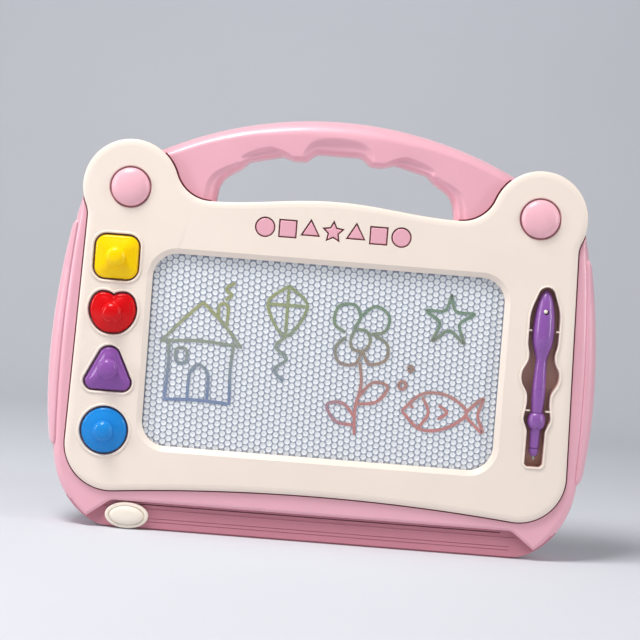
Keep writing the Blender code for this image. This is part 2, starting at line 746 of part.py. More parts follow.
def stamp_z(kind):
    """Height of a stamp's centre in the column between the bezel's foot and the ear cap."""
    heights = {"circle": STAMP_SIZE, "triangle": STAMP_TRIANGLE_HEIGHT, "heart": STAMP_HEART_HEIGHT,
               "square": STAMP_SQUARE_SIZE}
    room = EAR_Z - CAP_RADIUS - CAP_GAP - BEZEL_FOOT_Z - sum(heights.values())
    place = BEZEL_FOOT_Z
    for name, share in zip(STAMP_KINDS, STAMP_SPACE_SHARES):
        place += room * share + heights[name] / 2
        if name == kind:
            break
        place += heights[name] / 2
    return place


def shape_places():
    """Index and centre of each raised shape above the window."""
    height = WINDOW_TOP_Z + TOP_BAND * SHAPE_UP_SHARE
    return [(k, (k - (SHAPE_COUNT - 1) / 2) * SHAPE_PITCH, height) for k in range(SHAPE_COUNT)]


def make_bezel(surface):
    """Front bezel: plate with rounded edge, window lip, rimmed pockets and cut-out shapes."""
    outline = bezel_outline()
    layers = [(outline, BEZEL_THICKNESS)]
    for k in range(EDGE_STEPS + 1):
        turn = math.pi / 2 * k / EDGE_STEPS
        ring = inset(outline, BEZEL_EDGE * (1 - math.cos(turn)))
        layers.append((ring, BEZEL_EDGE * (1 - math.sin(turn))))
    bezel = stack("bezel", layers)
    window = window_outline()
    join(bezel, prism("lip", inset(window, -LIP_WALL), BEZEL_EDGE, LIP_REACH))
    for kind in STAMP_KINDS:
        join(bezel, rim(pocket_outline(kind)))
    join(bezel, rim(well_outline()))
    wide = inset(window, -WINDOW_SLOPE)
    cut(bezel, stack("window", [(wide, -OVERRUN), (wide, 0.0), (window, WINDOW_SLOPE_DEPTH),
                                (window, LIP_REACH + OVERRUN)]))
    for kind in STAMP_KINDS:
        cut(bezel, prism("pocket", pocket_outline(kind), -OVERRUN, BEZEL_THICKNESS + OVERRUN))
    cut(bezel, prism("well", well_outline(), -OVERRUN, BEZEL_THICKNESS + OVERRUN))
    for side in (-1, 1):
        hole = circle((side * EAR_X, EAR_Z), CAP_RADIUS + CAP_GAP, ROUND_SIDES)
        cut(bezel, prism("cap_hole", hole, -OVERRUN, BEZEL_THICKNESS + OVERRUN))
    for index, x, z in shape_places():
        opening = shifted(inset(shape_outline(index), -SHAPE_GAP), x, z)
        cut(bezel, prism("shape", opening, -OVERRUN, BEZEL_THICKNESS + OVERRUN))
    for tool in pen_nubs():
        join(bezel, tool)
    for name, x, z in board_screws():
        join(bezel, prism("post", circle((x, z), POST_RADIUS, SCREW_SIDES), BEZEL_EDGE, POST_REACH))
        bore = circle((x, z), SCREW_SHANK + SCREW_GAP, SCREW_SIDES)
        cut(bezel, prism("bore", bore, POST_BORE_END, POST_REACH + OVERRUN))
    return finish(bezel, "front_bezel", surface)


def pen_nubs():
    """Small catches on the bezel that reach over the pen from both sides of its well."""
    height = WELL_TOP_Z - WELL_FOOT_Z
    nubs = []
    for radius, room, share in ((PEN_BELLY_RADIUS, WELL_BELLY_ROOM, NUB_UP_SHARE),
                                (PEN_NOSE_RADIUS, WELL_WAIST_ROOM, NUB_LOW_SHARE)):
        z = WELL_FOOT_Z + height * share
        for side in (-1, 1):
            inner = PEN_X + side * (radius + NUB_GAP)
            outer = PEN_X + side * (radius + room + BOND)
            outline = box_outline(min(inner, outer), max(inner, outer), z - NUB_HALF_HEIGHT, z + NUB_HALF_HEIGHT)
            nubs.append(prism("nub", outline, BEZEL_EDGE / 4, BEZEL_THICKNESS * 3 / 4))
    return nubs


# Shells

def handle_line():
    """Right half of the handle: its inner edge and outer edge, from the crown down into the board."""
    half = HAND_HOLE_HALF_WIDTH
    corners = [(-half, BOARD_TOP_Z + HAND_HOLE_HEIGHT, 0.0)]
    for across, up, radius in HAND_HOLE_CORNER_SHARES:
        corners.append((half * across, BOARD_TOP_Z + HAND_HOLE_HEIGHT * up, half * radius))
    foot_z = BOARD_TOP_Z - WALL - OVERRUN
    corners.append((half, BOARD_TOP_Z, 0.0))
    corners.append((half, foot_z, 0.0))
    inner = [(0.0, BOARD_TOP_Z + HAND_HOLE_HEIGHT)] + rounded(corners)[1:]
    top_z = BOARD_TOP_Z + HANDLE_RISE
    end_x = EAR_X - HANDLE_EAR_LAP
    sweep = math.asin(end_x / HANDLE_ARC)
    outer = arc((0.0, top_z - HANDLE_ARC), HANDLE_ARC, HANDLE_ARC, math.pi / 2, math.pi / 2 - sweep, CORNER_STEPS * 2)
    outer.append((end_x, foot_z))
    return resampled(inner, HANDLE_STATIONS), resampled(outer, HANDLE_STATIONS)


def well_width(x):
    """How far the finger wells bite into the handle's front and rear edges."""
    share = abs(x) / HAND_HOLE_HALF_WIDTH
    width = WELL_EDGE
    for centre, half, rise in WELL_PLACE_SHARES:
        off = abs(share - centre) / half
        if off < 1:
            width = WELL_EDGE + WELL_RISE * rise * math.cos(math.pi / 2 * off) ** WELL_EASE_SHARE
    return width


def handle_ring(inner, outer):
    """One section of the handle between its inner and outer edge."""
    start = Vector(outer)
    run = Vector(inner) - start
    length = run.length
    run.normalize()
    reach = HANDLE_DEPTH / 2
    width = well_width(inner[0])
    half = []
    for k in range(EDGE_STEPS + 1):
        turn = math.pi / 2 * k / EDGE_STEPS
        half.append((HANDLE_ROUND * (1 - math.cos(turn)), reach * math.sin(turn)))
    scoop = (width - WELL_EDGE) / WELL_RISE
    for k in range(EDGE_STEPS):
        share = math.sin(math.pi / 2 * k / EDGE_STEPS)
        dip = 1 - WELL_SCOOP_SHARE * scoop * (1 - (1 - share) ** 2)
        half.append((length - width * (1 - share), reach * dip * math.sqrt(1 - share ** (2 + 2 * scoop))))
    front = half + [(length, 0.0)]
    rear = [(along, -off) for along, off in reversed(half[1:])]
    ring = []
    for along, off in front + rear:
        place = start + run * along
        ring.append((place.x, world_y(PARTING_DEPTH) - off, place.y))
    return ring


def handle_form():
    """The whole handle, both halves, with finger wells along its lower edge."""
    inner, outer = handle_line()
    right = [handle_ring(a, b) for a, b in zip(inner, outer)]
    left = [[(-x, y, z) for x, y, z in ring] for ring in reversed(right[1:])]
    return solid_from_rings("handle", left + right)


def grip_form(side):
    """A lens-shaped pad that stands on one flank."""
    low = CORNER_HEIGHT - GRIP_END_GAP
    high = FLANK_TOP_Z - GRIP_END_GAP
    rings = []
    for k in range(GRIP_STATIONS):
        share = k / (GRIP_STATIONS - 1)
        z = low + (high - low) * share
        base = flank_x(share) - SHOULDER_WIDTH
        edge = flank_x(share) - BOND
        crown = BODY_HALF_WIDTH + GRIP_END_RISE + (GRIP_CROWN - GRIP_END_RISE) * 4 * share * (1 - share)
        section = [(base, 0.0)] + [(edge + (crown - edge) * up, along) for along, up in GRIP_SECTION_SHARES]
        section.append((base, 1.0))
        front = GRIP_FRONT_DEPTH + GRIP_END_SET * (1 - (4 * share * (1 - share)) ** GRIP_END_EASE_SHARE)
        deep = 2 * (PARTING_DEPTH - front)
        rings.append([(side * x, world_y(front + deep * along), z) for x, along in section])
    return solid_from_rings("grip", rings)


def body_form():
    """The outer form of both shells together: board, grip pads and handle."""
    outline, shoulder = body_outline()
    layers = []
    for k in range(EDGE_STEPS + 1):
        turn = math.pi / 2 * k / EDGE_STEPS
        ring = inset(outline, [width * (1 - math.sin(turn)) for width in shoulder])
        layers.append((ring, DECK_FRONT + SHOULDER_DEPTH * (1 - math.cos(turn))))
    for k in range(EDGE_STEPS + 1):
        turn = math.pi / 2 * k / EDGE_STEPS
        ring = inset(outline, REAR_ROUND * (1 - math.cos(turn)))
        layers.append((ring, BOARD_DEPTH - REAR_ROUND * (1 - math.sin(turn))))
    form = stack("form", layers)
    for side in (-1, 1):
        join(form, grip_form(side))
    return join(form, handle_form())


def half_space(front, back):
    """A block wide and high enough to hold the whole board between two depths."""
    wide = BODY_HALF_WIDTH + GRIP_CROWN + OVERRUN
    high = BOARD_TOP_Z + HANDLE_RISE + OVERRUN
    return prism("half", box_outline(-wide, wide, -OVERRUN, high), front, back)


def front_cavity():
    """The hollow of the front shell, which leaves the channel's wall standing."""
    outline, shoulder = body_outline()
    inner = inset(outline, WALL)
    narrow = inset(outline, [width + WALL for width in shoulder])
    hollow = stack("hollow", [(inner, PARTING_DEPTH + OVERRUN), (inner, DECK_FRONT + SHOULDER_DEPTH),
                              (narrow, DECK_BACK)])
    return cut(hollow, prism("channel", inset(channel_outline(), -WALL), -OVERRUN, CHANNEL_WALL_BACK))


def rear_cavity():
    """The hollow of the rear shell."""
    outline = body_outline()[0]
    inner = inset(outline, WALL)
    narrow = inset(outline, WALL + REAR_ROUND)
    return stack("hollow", [(inner, PARTING_DEPTH - OVERRUN), (inner, BOARD_DEPTH - REAR_ROUND),
                            (narrow, REAR_WALL_FRONT)])


def screw_places():
    """Name, x, z and seat depth of each screw."""
    places = []
    for side, word in ((-1, "left"), (1, "right")):
        places += [
            ("screw_ear_" + word, side * (BODY_HALF_WIDTH - SCREW_EAR_INSET), EAR_Z - SCREW_EAR_DROP, SCREW_SEAT_DEPTH),
            ("screw_top_" + word, side * SCREW_TOP_X, BOARD_TOP_Z - SCREW_TOP_DROP, SCREW_SEAT_DEPTH),
            ("screw_foot_" + word, side * (BODY_HALF_WIDTH - SCREW_LOW_INSET), SCREW_LOW_Z, SCREW_SEAT_DEPTH),
            ("screw_handle_" + word, side * SCREW_HANDLE_X, BOARD_TOP_Z + SCREW_HANDLE_RISE, HANDLE_SCREW_SEAT_DEPTH),
        ]
    return places


def board_screws():
    """Name, x and z of the screws that go through both shells into the bezel's posts."""
    return [(name, x, z) for name, x, z, seat in screw_places() if "handle" not in name]


def make_front_shell(surface):
    """Front shell: deck behind the bezel, trays, panel rails, eraser channel and front half of the handle."""
    shell = keep(body_form(), half_space(DECK_FRONT - OVERRUN, FRONT_SHELL_BACK))
    cut(shell, front_cavity())
    for index, x, z in shape_places():
        join(shell, prism("shape", shifted(shape_outline(index), x, z), SHAPE_TOP_DEPTH, DECK_FRONT + BOND))
    for kind in STAMP_KINDS:
        tray = inset(pocket_outline(kind), -TRAY_WALL)
        join(shell, prism("tray", tray, DECK_BACK - BOND, STAMP_FLOOR_DEPTH + TRAY_WALL))
    join(shell, prism("tray", inset(well_outline(), -TRAY_WALL), DECK_BACK - BOND, PEN_WELL_FLOOR + TRAY_WALL))
    for tool in panel_rails():
        join(shell, tool)
    for name, x, z in board_screws():
        boss = circle((x, z), BOSS_RADIUS, SCREW_SIDES)
        join(shell, prism("boss", boss, DECK_BACK - BOND, FRONT_SHELL_BACK))
        seat = circle((x, z), POST_RADIUS + SEAT_GAP, SCREW_SIDES)
        cut(shell, prism("seat", seat, -OVERRUN, POST_REACH + SEAT_GAP))
    for kind in STAMP_KINDS:
        cut(shell, prism("pocket", pocket_outline(kind), -OVERRUN, STAMP_FLOOR_DEPTH))
    cut(shell, prism("well", well_outline(), -OVERRUN, PEN_WELL_FLOOR))
    join(shell, pen_cradle())
    cut(shell, prism("panel", inset(panel_outline(), -PANEL_GAP), -OVERRUN, RAIL_FRONT))
    cut(shell, stack("channel", brow_layers()))
    cut(shell, channel_slot())
    for k in range(GROOVE_COUNT):
        low = GROOVE_LOW_Z + k * GROOVE_PITCH
        groove = box_outline(-CHANNEL_HALF_WIDTH, CHANNEL_HALF_WIDTH, low, low + GROOVE_HEIGHT)
        cut(shell, prism("groove", groove, CHANNEL_DEPTH - OVERRUN, CHANNEL_DEPTH + GROOVE_DEPTH))
    for name, x, z, seat in screw_places():
        hole = circle((x, z), SCREW_SHANK + SCREW_GAP, SCREW_SIDES)
        cut(shell, prism("pilot", hole, PARTING_DEPTH - SCREW_BITE - OVERRUN, PARTING_DEPTH + OVERRUN))
    return finish(shell, "body_frame", surface)


def panel_rails():
    """Rails above and below the window that carry the magnetic panel from behind."""
    half = WINDOW_HALF_WIDTH + PANEL_OVERLAP_X + PANEL_GAP
    rails = []
    for edge_z, way in ((WINDOW_BOTTOM_Z - PANEL_OVERLAP_Z, -1), (WINDOW_TOP_Z + PANEL_OVERLAP_Z, 1)):
        inner = edge_z - way * RAIL_LAP
        outer = edge_z + way * (PANEL_GAP + RAIL_WALL)
        outline = box_outline(-half, half, min(inner, outer), max(inner, outer))
        rails.append(prism("rail", outline, DECK_BACK - BOND, RAIL_BACK))
    return rails


def pen_cradle():
    """A saddle in the well's floor that carries the pen under its ball collar."""
    z = PEN_COLLAR_FOOT_Z + PEN_COLLAR_LENGTH / 2
    reach = PEN_AXIS_DEPTH + PEN_COLLAR_RADIUS + SEAT_GAP
    half = PEN_NOSE_RADIUS
    outline = box_outline(PEN_X - half, PEN_X + half, z - TRAY_WALL, z + TRAY_WALL)
    return prism("cradle", outline, reach, PEN_WELL_FLOOR + BOND)


def brow_layers():
    """Layers of the channel's cutter, whose upper edge leaves a rounded brow on the deck."""
    outline = channel_outline()
    layers = [(inset(outline, -CHANNEL_BROW), -OVERRUN)]
    for k in range(EDGE_STEPS + 1):
        turn = math.pi / 2 * k / EDGE_STEPS
        layers.append((inset(outline, -CHANNEL_BROW * (1 - math.sin(turn))),
                       DECK_FRONT + CHANNEL_BROW * (1 - math.cos(turn))))
    return layers + [(outline, CHANNEL_DEPTH)]


def channel_slot():
    """Slot in the channel's wall that the eraser knob's stem runs in."""
    left = KNOB_START_X - KNOB_STEM_WIDTH / 2 - SLIDE_GAP
    right = KNOB_START_X + ERASER_TRAVEL + KNOB_STEM_WIDTH / 2 + SLIDE_GAP
    half = KNOB_STEM_HEIGHT / 2 + SLOT_GAP
    outline = box_outline(left, right, SLOT_Z - half, SLOT_Z + half)
    return prism("slot", outline, CHANNEL_DEPTH - OVERRUN, CHANNEL_WALL_BACK + OVERRUN / 2)


def make_rear_shell(surface):
    """Rear shell: back wall with a shallow field, screw bosses, eraser runners and rear half of the handle."""
    shell = keep(body_form(), half_space(REAR_SHELL_FRONT, BOARD_DEPTH + OVERRUN))
    cut(shell, rear_cavity())
    for name, x, z in board_screws():
        boss = circle((x, z), BOSS_RADIUS, SCREW_SIDES)
        join(shell, prism("boss", boss, REAR_SHELL_FRONT, REAR_WALL_FRONT + BOND))
    half = WINDOW_HALF_WIDTH + RUNNER_REACH
    for z in (CHANNEL_TOP_Z + RUNNER_LOW_RISE, WINDOW_TOP_Z + RUNNER_HIGH_RISE):
        outline = box_outline(-half, half, z, z + RUNNER_THICKNESS)
        join(shell, prism("runner", outline, CARRIAGE_BACK + SEAT_GAP, REAR_WALL_FRONT + BOND))
    front = CARRIAGE_BACK + SEAT_GAP
    web = box_outline(-half, half, SLOT_Z - GUIDE_THICKNESS / 2, SLOT_Z + GUIDE_THICKNESS / 2)
    join(shell, prism("guide_web", web, front + BOND, REAR_WALL_FRONT + BOND))
    guide = box_outline(-half, half, SLOT_Z - GUIDE_HALF_HEIGHT, SLOT_Z + GUIDE_HALF_HEIGHT)
    join(shell, prism("guide", guide, front, front + GUIDE_THICKNESS))
    for name, x, z, seat in screw_places():
        hole = circle((x, z), SCREW_SHANK + SCREW_GAP, SCREW_SIDES)
        cut(shell, prism("hole", hole, PARTING_DEPTH - OVERRUN, BOARD_DEPTH + OVERRUN))
        bore = circle((x, z), SCREW_HEAD + SCREW_GAP, SCREW_SIDES)
        cut(shell, prism("bore", bore, seat, BOARD_DEPTH + OVERRUN))
    return finish(shell, "back_cover", surface)


def make_screws(surface):
    """Screws from the back: a pan head on its seat and a plain shank into the front half."""
    for name, x, z, seat in screw_places():
        tip = PARTING_DEPTH - SCREW_BITE if "handle" in name else POST_REACH - POST_BITE
        head = seat + SEAT_GAP
        profile = [(SCREW_SHANK * 0.5, tip), (SCREW_SHANK, tip + SCREW_SHANK), (SCREW_SHANK, head),
                   (SCREW_HEAD, head), (SCREW_HEAD * 0.7, head + SCREW_HEAD_HEIGHT)]
        screw = turned(name, profile, (x, world_y(0.0), z), "Y", SCREW_SIDES)
        finish(screw, name, surface)


# Ear caps, panel, stamps, pen and eraser

def make_ear_caps(surface):
    """Domed caps in the two ears."""
    for side, word in ((-1, "left"), (1, "right")):
        profile = [(CAP_RADIUS, BEZEL_THICKNESS), (CAP_RADIUS, 0.0)]
        for k in range(1, EDGE_STEPS + 1):
            turn = math.pi / 2 * k / (EDGE_STEPS + 1)
            profile.append((CAP_RADIUS * math.cos(turn), -CAP_DOME * math.sin(turn)))
        profile.append((CAP_RADIUS * 0.08, -CAP_DOME))
        cap = turned("cap", profile, (side * EAR_X, world_y(0.0), EAR_Z), "Y", ROUND_SIDES)
        finish(cap, "ear_cap_" + word, surface)


def make_panel(sheet, cells, backing):
    """Magnetic panel: clear front sheet, honeycomb and back sheet."""
    outline = panel_outline()
    layers = [("screen_front_sheet", PANEL_FRONT, SHEET_THICKNESS, sheet),
              ("screen_honeycomb", HONEYCOMB_FRONT, HONEYCOMB_THICKNESS, cells),
              ("screen_back_sheet", BACK_SHEET_FRONT, SHEET_THICKNESS, backing)]
    for name, front, thickness, surface in layers:
        finish(prism(name, outline, front, front + thickness), name, surface)


def make_stamp(kind, surface, magnet_surface):
    """A stamp with a domed base and a knob, and its magnet in a recess underneath."""
    lift = mover("stamp_" + kind + "_lift", STAMP_X, 0.0, stamp_z(kind))
    outline = shifted(stamp_outline(kind), STAMP_X, stamp_z(kind))
    bottom = STAMP_FLOOR_DEPTH - SEAT_GAP
    layers = [(outline, bottom)]
    for across, up in DOME_RING_SHARES:
        layers.append((inset(outline, STAMP_SIZE / 2 * across), -STAMP_RIM_DEPTH - STAMP_DOME * up))
    stamp = stack("stamp", layers)
    foot = STAMP_RIM_DEPTH + STAMP_DOME - BOND
    profile = [(STAMP_KNOB_RADIUS * wide, -foot - (STAMP_KNOB_REACH - foot) * up) for wide, up in STAMP_KNOB_SHARES]
    profile.append((STAMP_KNOB_RADIUS * 0.1, -STAMP_KNOB_REACH))
    centre = (STAMP_X, world_y(0.0), stamp_z(kind))
    join(stamp, turned("knob", profile, centre, "Y", SMALL_SIDES))
    seat = bottom - STAMP_MAGNET_THICKNESS
    recess = [(STAMP_MAGNET_RADIUS + SEAT_GAP, seat - SEAT_GAP), (STAMP_MAGNET_RADIUS + SEAT_GAP, bottom + OVERRUN)]
    cut(stamp, turned("recess", recess, centre, "Y", SMALL_SIDES))
    finish(stamp, "stamp_" + kind, surface, lift)
    disc = [(STAMP_MAGNET_RADIUS, seat), (STAMP_MAGNET_RADIUS, bottom)]
    finish(turned("disc", disc, centre, "Y", SMALL_SIDES), "stamp_" + kind + "_magnet", magnet_surface, lift)


def make_pen(surface, nib_surface):
    """Pen: swelling barrel, nose with a ball collar, and a magnetic nib."""
    lift = mover("pen_lift", PEN_X, PEN_AXIS_DEPTH, PEN_BARREL_FOOT_Z)
    foot = (PEN_X, world_y(PEN_AXIS_DEPTH), PEN_BARREL_FOOT_Z)
    profile = [(PEN_BELLY_RADIUS * wide, PEN_BARREL_LENGTH * up) for up, wide in PEN_BARREL_SHARES]
    profile.append((PEN_BELLY_RADIUS * 0.08, PEN_BARREL_LENGTH))
    barrel = turned("barrel", profile, foot, "Z", SMALL_SIDES)
    socket = [(PEN_SPIGOT_RADIUS + SEAT_GAP, -OVERRUN), (PEN_SPIGOT_RADIUS + SEAT_GAP, PEN_SPIGOT_LENGTH + SEAT_GAP)]
    cut(barrel, turned("socket", socket, foot, "Z", SCREW_SIDES))
    hole_z = PEN_BARREL_FOOT_Z + PEN_BARREL_LENGTH * PEN_STRING_SHARE
    hole = circle((PEN_X, hole_z), PEN_STRING_HOLE, SCREW_SIDES)
    front = PEN_AXIS_DEPTH - PEN_BELLY_RADIUS - OVERRUN
    cut(barrel, prism("string_hole", hole, front, PEN_AXIS_DEPTH + PEN_BELLY_RADIUS + OVERRUN))
    finish(barrel, "pen_barrel", surface, lift)
    make_pen_nose(surface, nib_surface, lift)


def make_pen_nose(surface, nib_surface, lift):
    """Nose piece with its ball collar and spigot, and the nib in its end."""
    top = (PEN_X, world_y(PEN_AXIS_DEPTH), PEN_COLLAR_FOOT_Z + PEN_COLLAR_LENGTH)
    profile = [(PEN_SPIGOT_RADIUS, PEN_SPIGOT_LENGTH), (PEN_SPIGOT_RADIUS, 0.0)]
    ball_steps = EDGE_STEPS + 2
    for k in range(ball_steps + 1):
        turn = math.pi * k / ball_steps
        wide = PEN_NOSE_RADIUS + (PEN_COLLAR_RADIUS - PEN_NOSE_RADIUS) * math.sin(turn)
        profile.append((wide, -PEN_COLLAR_LENGTH * (1 - math.cos(turn)) / 2))
    nose = -PEN_COLLAR_LENGTH - PEN_NOSE_LENGTH
    profile += [(PEN_NOSE_RADIUS * 0.94, nose + PEN_NOSE_LENGTH * 0.38),
                (PEN_NOSE_RADIUS * 0.88, nose + PEN_NOSE_LENGTH * 0.35),
                (PEN_NOSE_RADIUS * 0.9, nose + PEN_NOSE_LENGTH * 0.32),
                (PEN_TIP_RADIUS, nose + PEN_NOSE_LENGTH * 0.08), (PEN_TIP_RADIUS * 0.7, nose)]
    piece = turned("nose", profile, top, "Z", SMALL_SIDES)
    seat = PEN_NIB_RADIUS + SEAT_GAP
    bore = [(seat, nose - OVERRUN), (seat, nose + PEN_NIB_SEAT)]
    cut(piece, turned("bore", bore, top, "Z", SCREW_SIDES))
    finish(piece, "pen_nose", surface, lift)
    pin = [(PEN_NIB_RADIUS * 0.6, nose - PEN_NIB_REACH), (PEN_NIB_RADIUS, nose - PEN_NIB_REACH + PEN_NIB_RADIUS * 0.5),
           (PEN_NIB_RADIUS, nose + PEN_NIB_SEAT - SEAT_GAP)]
    finish(turned("nib", pin, top, "Z", SCREW_SIDES), "pen_nib", nib_surface, lift)


def make_eraser(knob_surface, carriage_surface, magnet_surface):
    """Eraser: knob in the channel, carriage behind the panel and its magnet strip."""
    slide = mover("eraser_slide", KNOB_START_X, CHANNEL_DEPTH, KNOB_Z)
    half = ERASER_BAR_WIDTH / 2
    foot = CARRIAGE_FOOT_WIDTH / 2
    top = WINDOW_TOP_Z + PANEL_OVERLAP_Z + CARRIAGE_TOP_LAP / 2
    foot_top = SLOT_Z + CARRIAGE_FOOT_CAP
    outline = rounded([
        (KNOB_START_X - foot, CARRIAGE_FOOT_BOTTOM, half / 2), (KNOB_START_X + foot, CARRIAGE_FOOT_BOTTOM, half / 2),
        (KNOB_START_X + foot, foot_top, half / 2), (ERASER_BAR_X + half, foot_top + foot, half),
        (ERASER_BAR_X + half, top, half / 2), (ERASER_BAR_X - half, top, half / 2),
        (ERASER_BAR_X - half, foot_top + foot, half), (KNOB_START_X - foot, foot_top, half / 2),
    ])
    carriage = prism("carriage", outline, CARRIAGE_FRONT, CARRIAGE_BACK)
    stem = KNOB_STEM_WIDTH / 2
    stem_half = KNOB_STEM_HEIGHT / 2
    socket = box_outline(KNOB_START_X - stem - SEAT_GAP, KNOB_START_X + stem + SEAT_GAP,
                         SLOT_Z - stem_half - SEAT_GAP, SLOT_Z + stem_half + SEAT_GAP)
    cut(carriage, prism("socket", socket, CARRIAGE_FRONT - OVERRUN, CARRIAGE_BACK + OVERRUN))
    finish(carriage, "eraser_carriage", carriage_surface, slide)
    strip = ERASER_MAGNET_WIDTH / 2
    low = WINDOW_BOTTOM_Z + SEAT_GAP
    magnet = box_outline(ERASER_BAR_X - strip, ERASER_BAR_X + strip, low, WINDOW_TOP_Z - SEAT_GAP)
    back = CARRIAGE_FRONT - SEAT_GAP
    strip_piece = prism("strip", magnet, back - ERASER_MAGNET_THICKNESS, back)
    finish(strip_piece, "eraser_magnet", magnet_surface, slide)
    make_slider_knob(knob_surface, slide, stem, stem_half)


def make_slider_knob(surface, slide, stem, stem_half):
    """Oval knob: flange in the channel, raised dome and a flat stem through the slot."""
    centre = (KNOB_START_X, KNOB_Z)
    flange_back = CHANNEL_DEPTH - SEAT_GAP
    wide = KNOB_FLANGE_HALF_WIDTH
    tall = KNOB_FLANGE_HALF_HEIGHT
    dome_wide = KNOB_DOME_HALF_WIDTH
    dome_tall = KNOB_DOME_HALF_HEIGHT
    rise = KNOB_FLANGE_FRONT - KNOB_TOP_DEPTH
    edge = (flange_back - KNOB_FLANGE_FRONT) / 3
    sections = [(wide, tall, flange_back), (wide, tall, KNOB_FLANGE_FRONT + edge),
                (wide - edge, tall - edge, KNOB_FLANGE_FRONT),
                (wide - edge - KNOB_RING_WIDTH, tall - edge - KNOB_RING_WIDTH, KNOB_FLANGE_FRONT),
                (dome_wide, dome_tall, KNOB_FLANGE_FRONT + KNOB_GROOVE_DEPTH),
                (dome_wide * 0.96, dome_tall * 0.96, KNOB_FLANGE_FRONT - rise * 0.36),
                (dome_wide * 0.84, dome_tall * 0.84, KNOB_FLANGE_FRONT - rise * 0.74),
                (dome_wide * 0.6, dome_tall * 0.6, KNOB_FLANGE_FRONT - rise * 0.94),
                (dome_wide * 0.2, dome_tall * 0.2, KNOB_TOP_DEPTH)]
    layers = [(arc(centre, a, b, 0.0, math.tau, ROUND_SIDES)[:-1], depth) for a, b, depth in sections]
    knob = stack("knob", layers)
    outline = box_outline(KNOB_START_X - stem, KNOB_START_X + stem, SLOT_Z - stem_half, SLOT_Z + stem_half)
    join(knob, prism("stem", outline, flange_back - BOND, CARRIAGE_BACK))
    finish(knob, "slider_knob", surface, slide)


def main():
    """Build every piece of the drawing board."""
    clear_scene()
    cream = material("cream_plastic", CREAM, 0.35)
    pink = material("pink_plastic", PINK, 0.35)
    stamp_colours = {"square": YELLOW, "heart": RED, "triangle": PURPLE, "circle": BLUE}
    make_bezel(cream)
    make_front_shell(pink)
    make_rear_shell(material("pink_plastic_back", PINK, 0.4))
    make_ear_caps(material("pink_plastic_cap", PINK, 0.3))
    make_panel(material("clear_sheet", SCREEN_WHITE, 0.2), material("honeycomb", HONEYCOMB_GREY, 0.5),
               material("back_sheet", BACK_SHEET_WHITE, 0.5))
    for kind, colour in stamp_colours.items():
        make_stamp(kind, material(kind + "_plastic", colour, 0.3),
                   material(kind + "_magnet", MAGNET_GREY, 0.6))
    make_pen(material("pen_plastic", PEN_PURPLE, 0.3), material("nib_metal", STEEL, 0.35, 1.0))
    make_eraser(material("knob_plastic", CREAM, 0.3), material("carriage_plastic", BACK_SHEET_WHITE, 0.5),
                material("strip_magnet", MAGNET_GREY, 0.7))
    make_screws(material("screw_steel", STEEL, 0.35, 1.0))


main()
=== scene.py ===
"""Looks of the magnetic drawing board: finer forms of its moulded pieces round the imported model.

The board stands upright on its flat lower edge. X runs to the right, Z runs up, and the drawing
side faces -Y. Depths are measured backwards from the face of the bezel. All sizes are in metres.
"""

import math
import random

import bmesh
import bpy
from mathutils import Matrix, Vector


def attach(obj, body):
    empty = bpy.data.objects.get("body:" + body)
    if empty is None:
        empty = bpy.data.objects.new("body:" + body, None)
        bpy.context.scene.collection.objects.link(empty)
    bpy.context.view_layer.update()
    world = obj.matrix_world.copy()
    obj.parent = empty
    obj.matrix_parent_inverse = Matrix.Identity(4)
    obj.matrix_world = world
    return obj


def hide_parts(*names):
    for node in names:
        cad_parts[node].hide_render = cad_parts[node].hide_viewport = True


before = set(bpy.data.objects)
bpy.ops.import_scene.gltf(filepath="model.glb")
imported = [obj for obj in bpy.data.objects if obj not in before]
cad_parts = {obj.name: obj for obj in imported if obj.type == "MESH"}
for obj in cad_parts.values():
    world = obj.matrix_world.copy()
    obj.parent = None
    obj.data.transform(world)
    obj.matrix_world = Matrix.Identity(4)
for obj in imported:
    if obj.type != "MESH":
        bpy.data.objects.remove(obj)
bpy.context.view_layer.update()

# Board through its depth, from the bezel's face backwards
BOARD_DEPTH = 0.040
PARTING_DEPTH = 0.020
BEZEL_THICKNESS = 0.003
WALL = 0.0025

# Clearances
SEAT_GAP = 0.0003
POCKET_GAP = 0.0005
PANEL_GAP = 0.0005
SLIDE_GAP = 0.0005
OVERRUN = 0.004
BOND = 0.001

# Drawing window and the bands of bezel round it
WINDOW_WIDTH = 0.2488
WINDOW_HEIGHT = 0.1364
WINDOW_CORNER = 0.0175
WINDOW_SLOPE = 0.0035
WINDOW_SLOPE_DEPTH = 0.0026
LIP_WALL = 0.0028
LIP_REACH = 0.0042
SIDE_BAND = 0.0532
TOP_BAND = 0.0386
BOTTOM_BAND = 0.0341

# Outline of the bezel
BEZEL_FOOT_Z = 0.027
BEZEL_ARCH_RISE = 0.0071
BEZEL_CORNER = 0.033
BEZEL_EDGE = 0.0022
BEZEL_CROWN_RISE = 0.0063
NECK_INSET = 0.0046
NECK_RADIUS = 0.020
EAR_RADIUS = 0.0337
EAR_OUTSET = 0.0004
EAR_LIFT = 0.0056
EAR_FILLET = 0.026

# Outline of the two shells behind the bezel
SHELL_TUCK = 0.0008
FLANK_WIDTH = 0.0092
FLANK_BULGE = 0.003
FLANK_LEAN = 0.0053
FLANK_DROP = 0.0217
CORNER_WIDTH = 0.048
CORNER_HEIGHT = 0.060
SHOULDER_WIDTH = 0.0065
SHOULDER_DEPTH = 0.0072
LOWER_SHOULDER = 0.003
REAR_ROUND = 0.007

# Grip pads on the flanks
GRIP_END_RISE = 0.0026
GRIP_CROWN = 0.0078
GRIP_END_GAP = 0.004

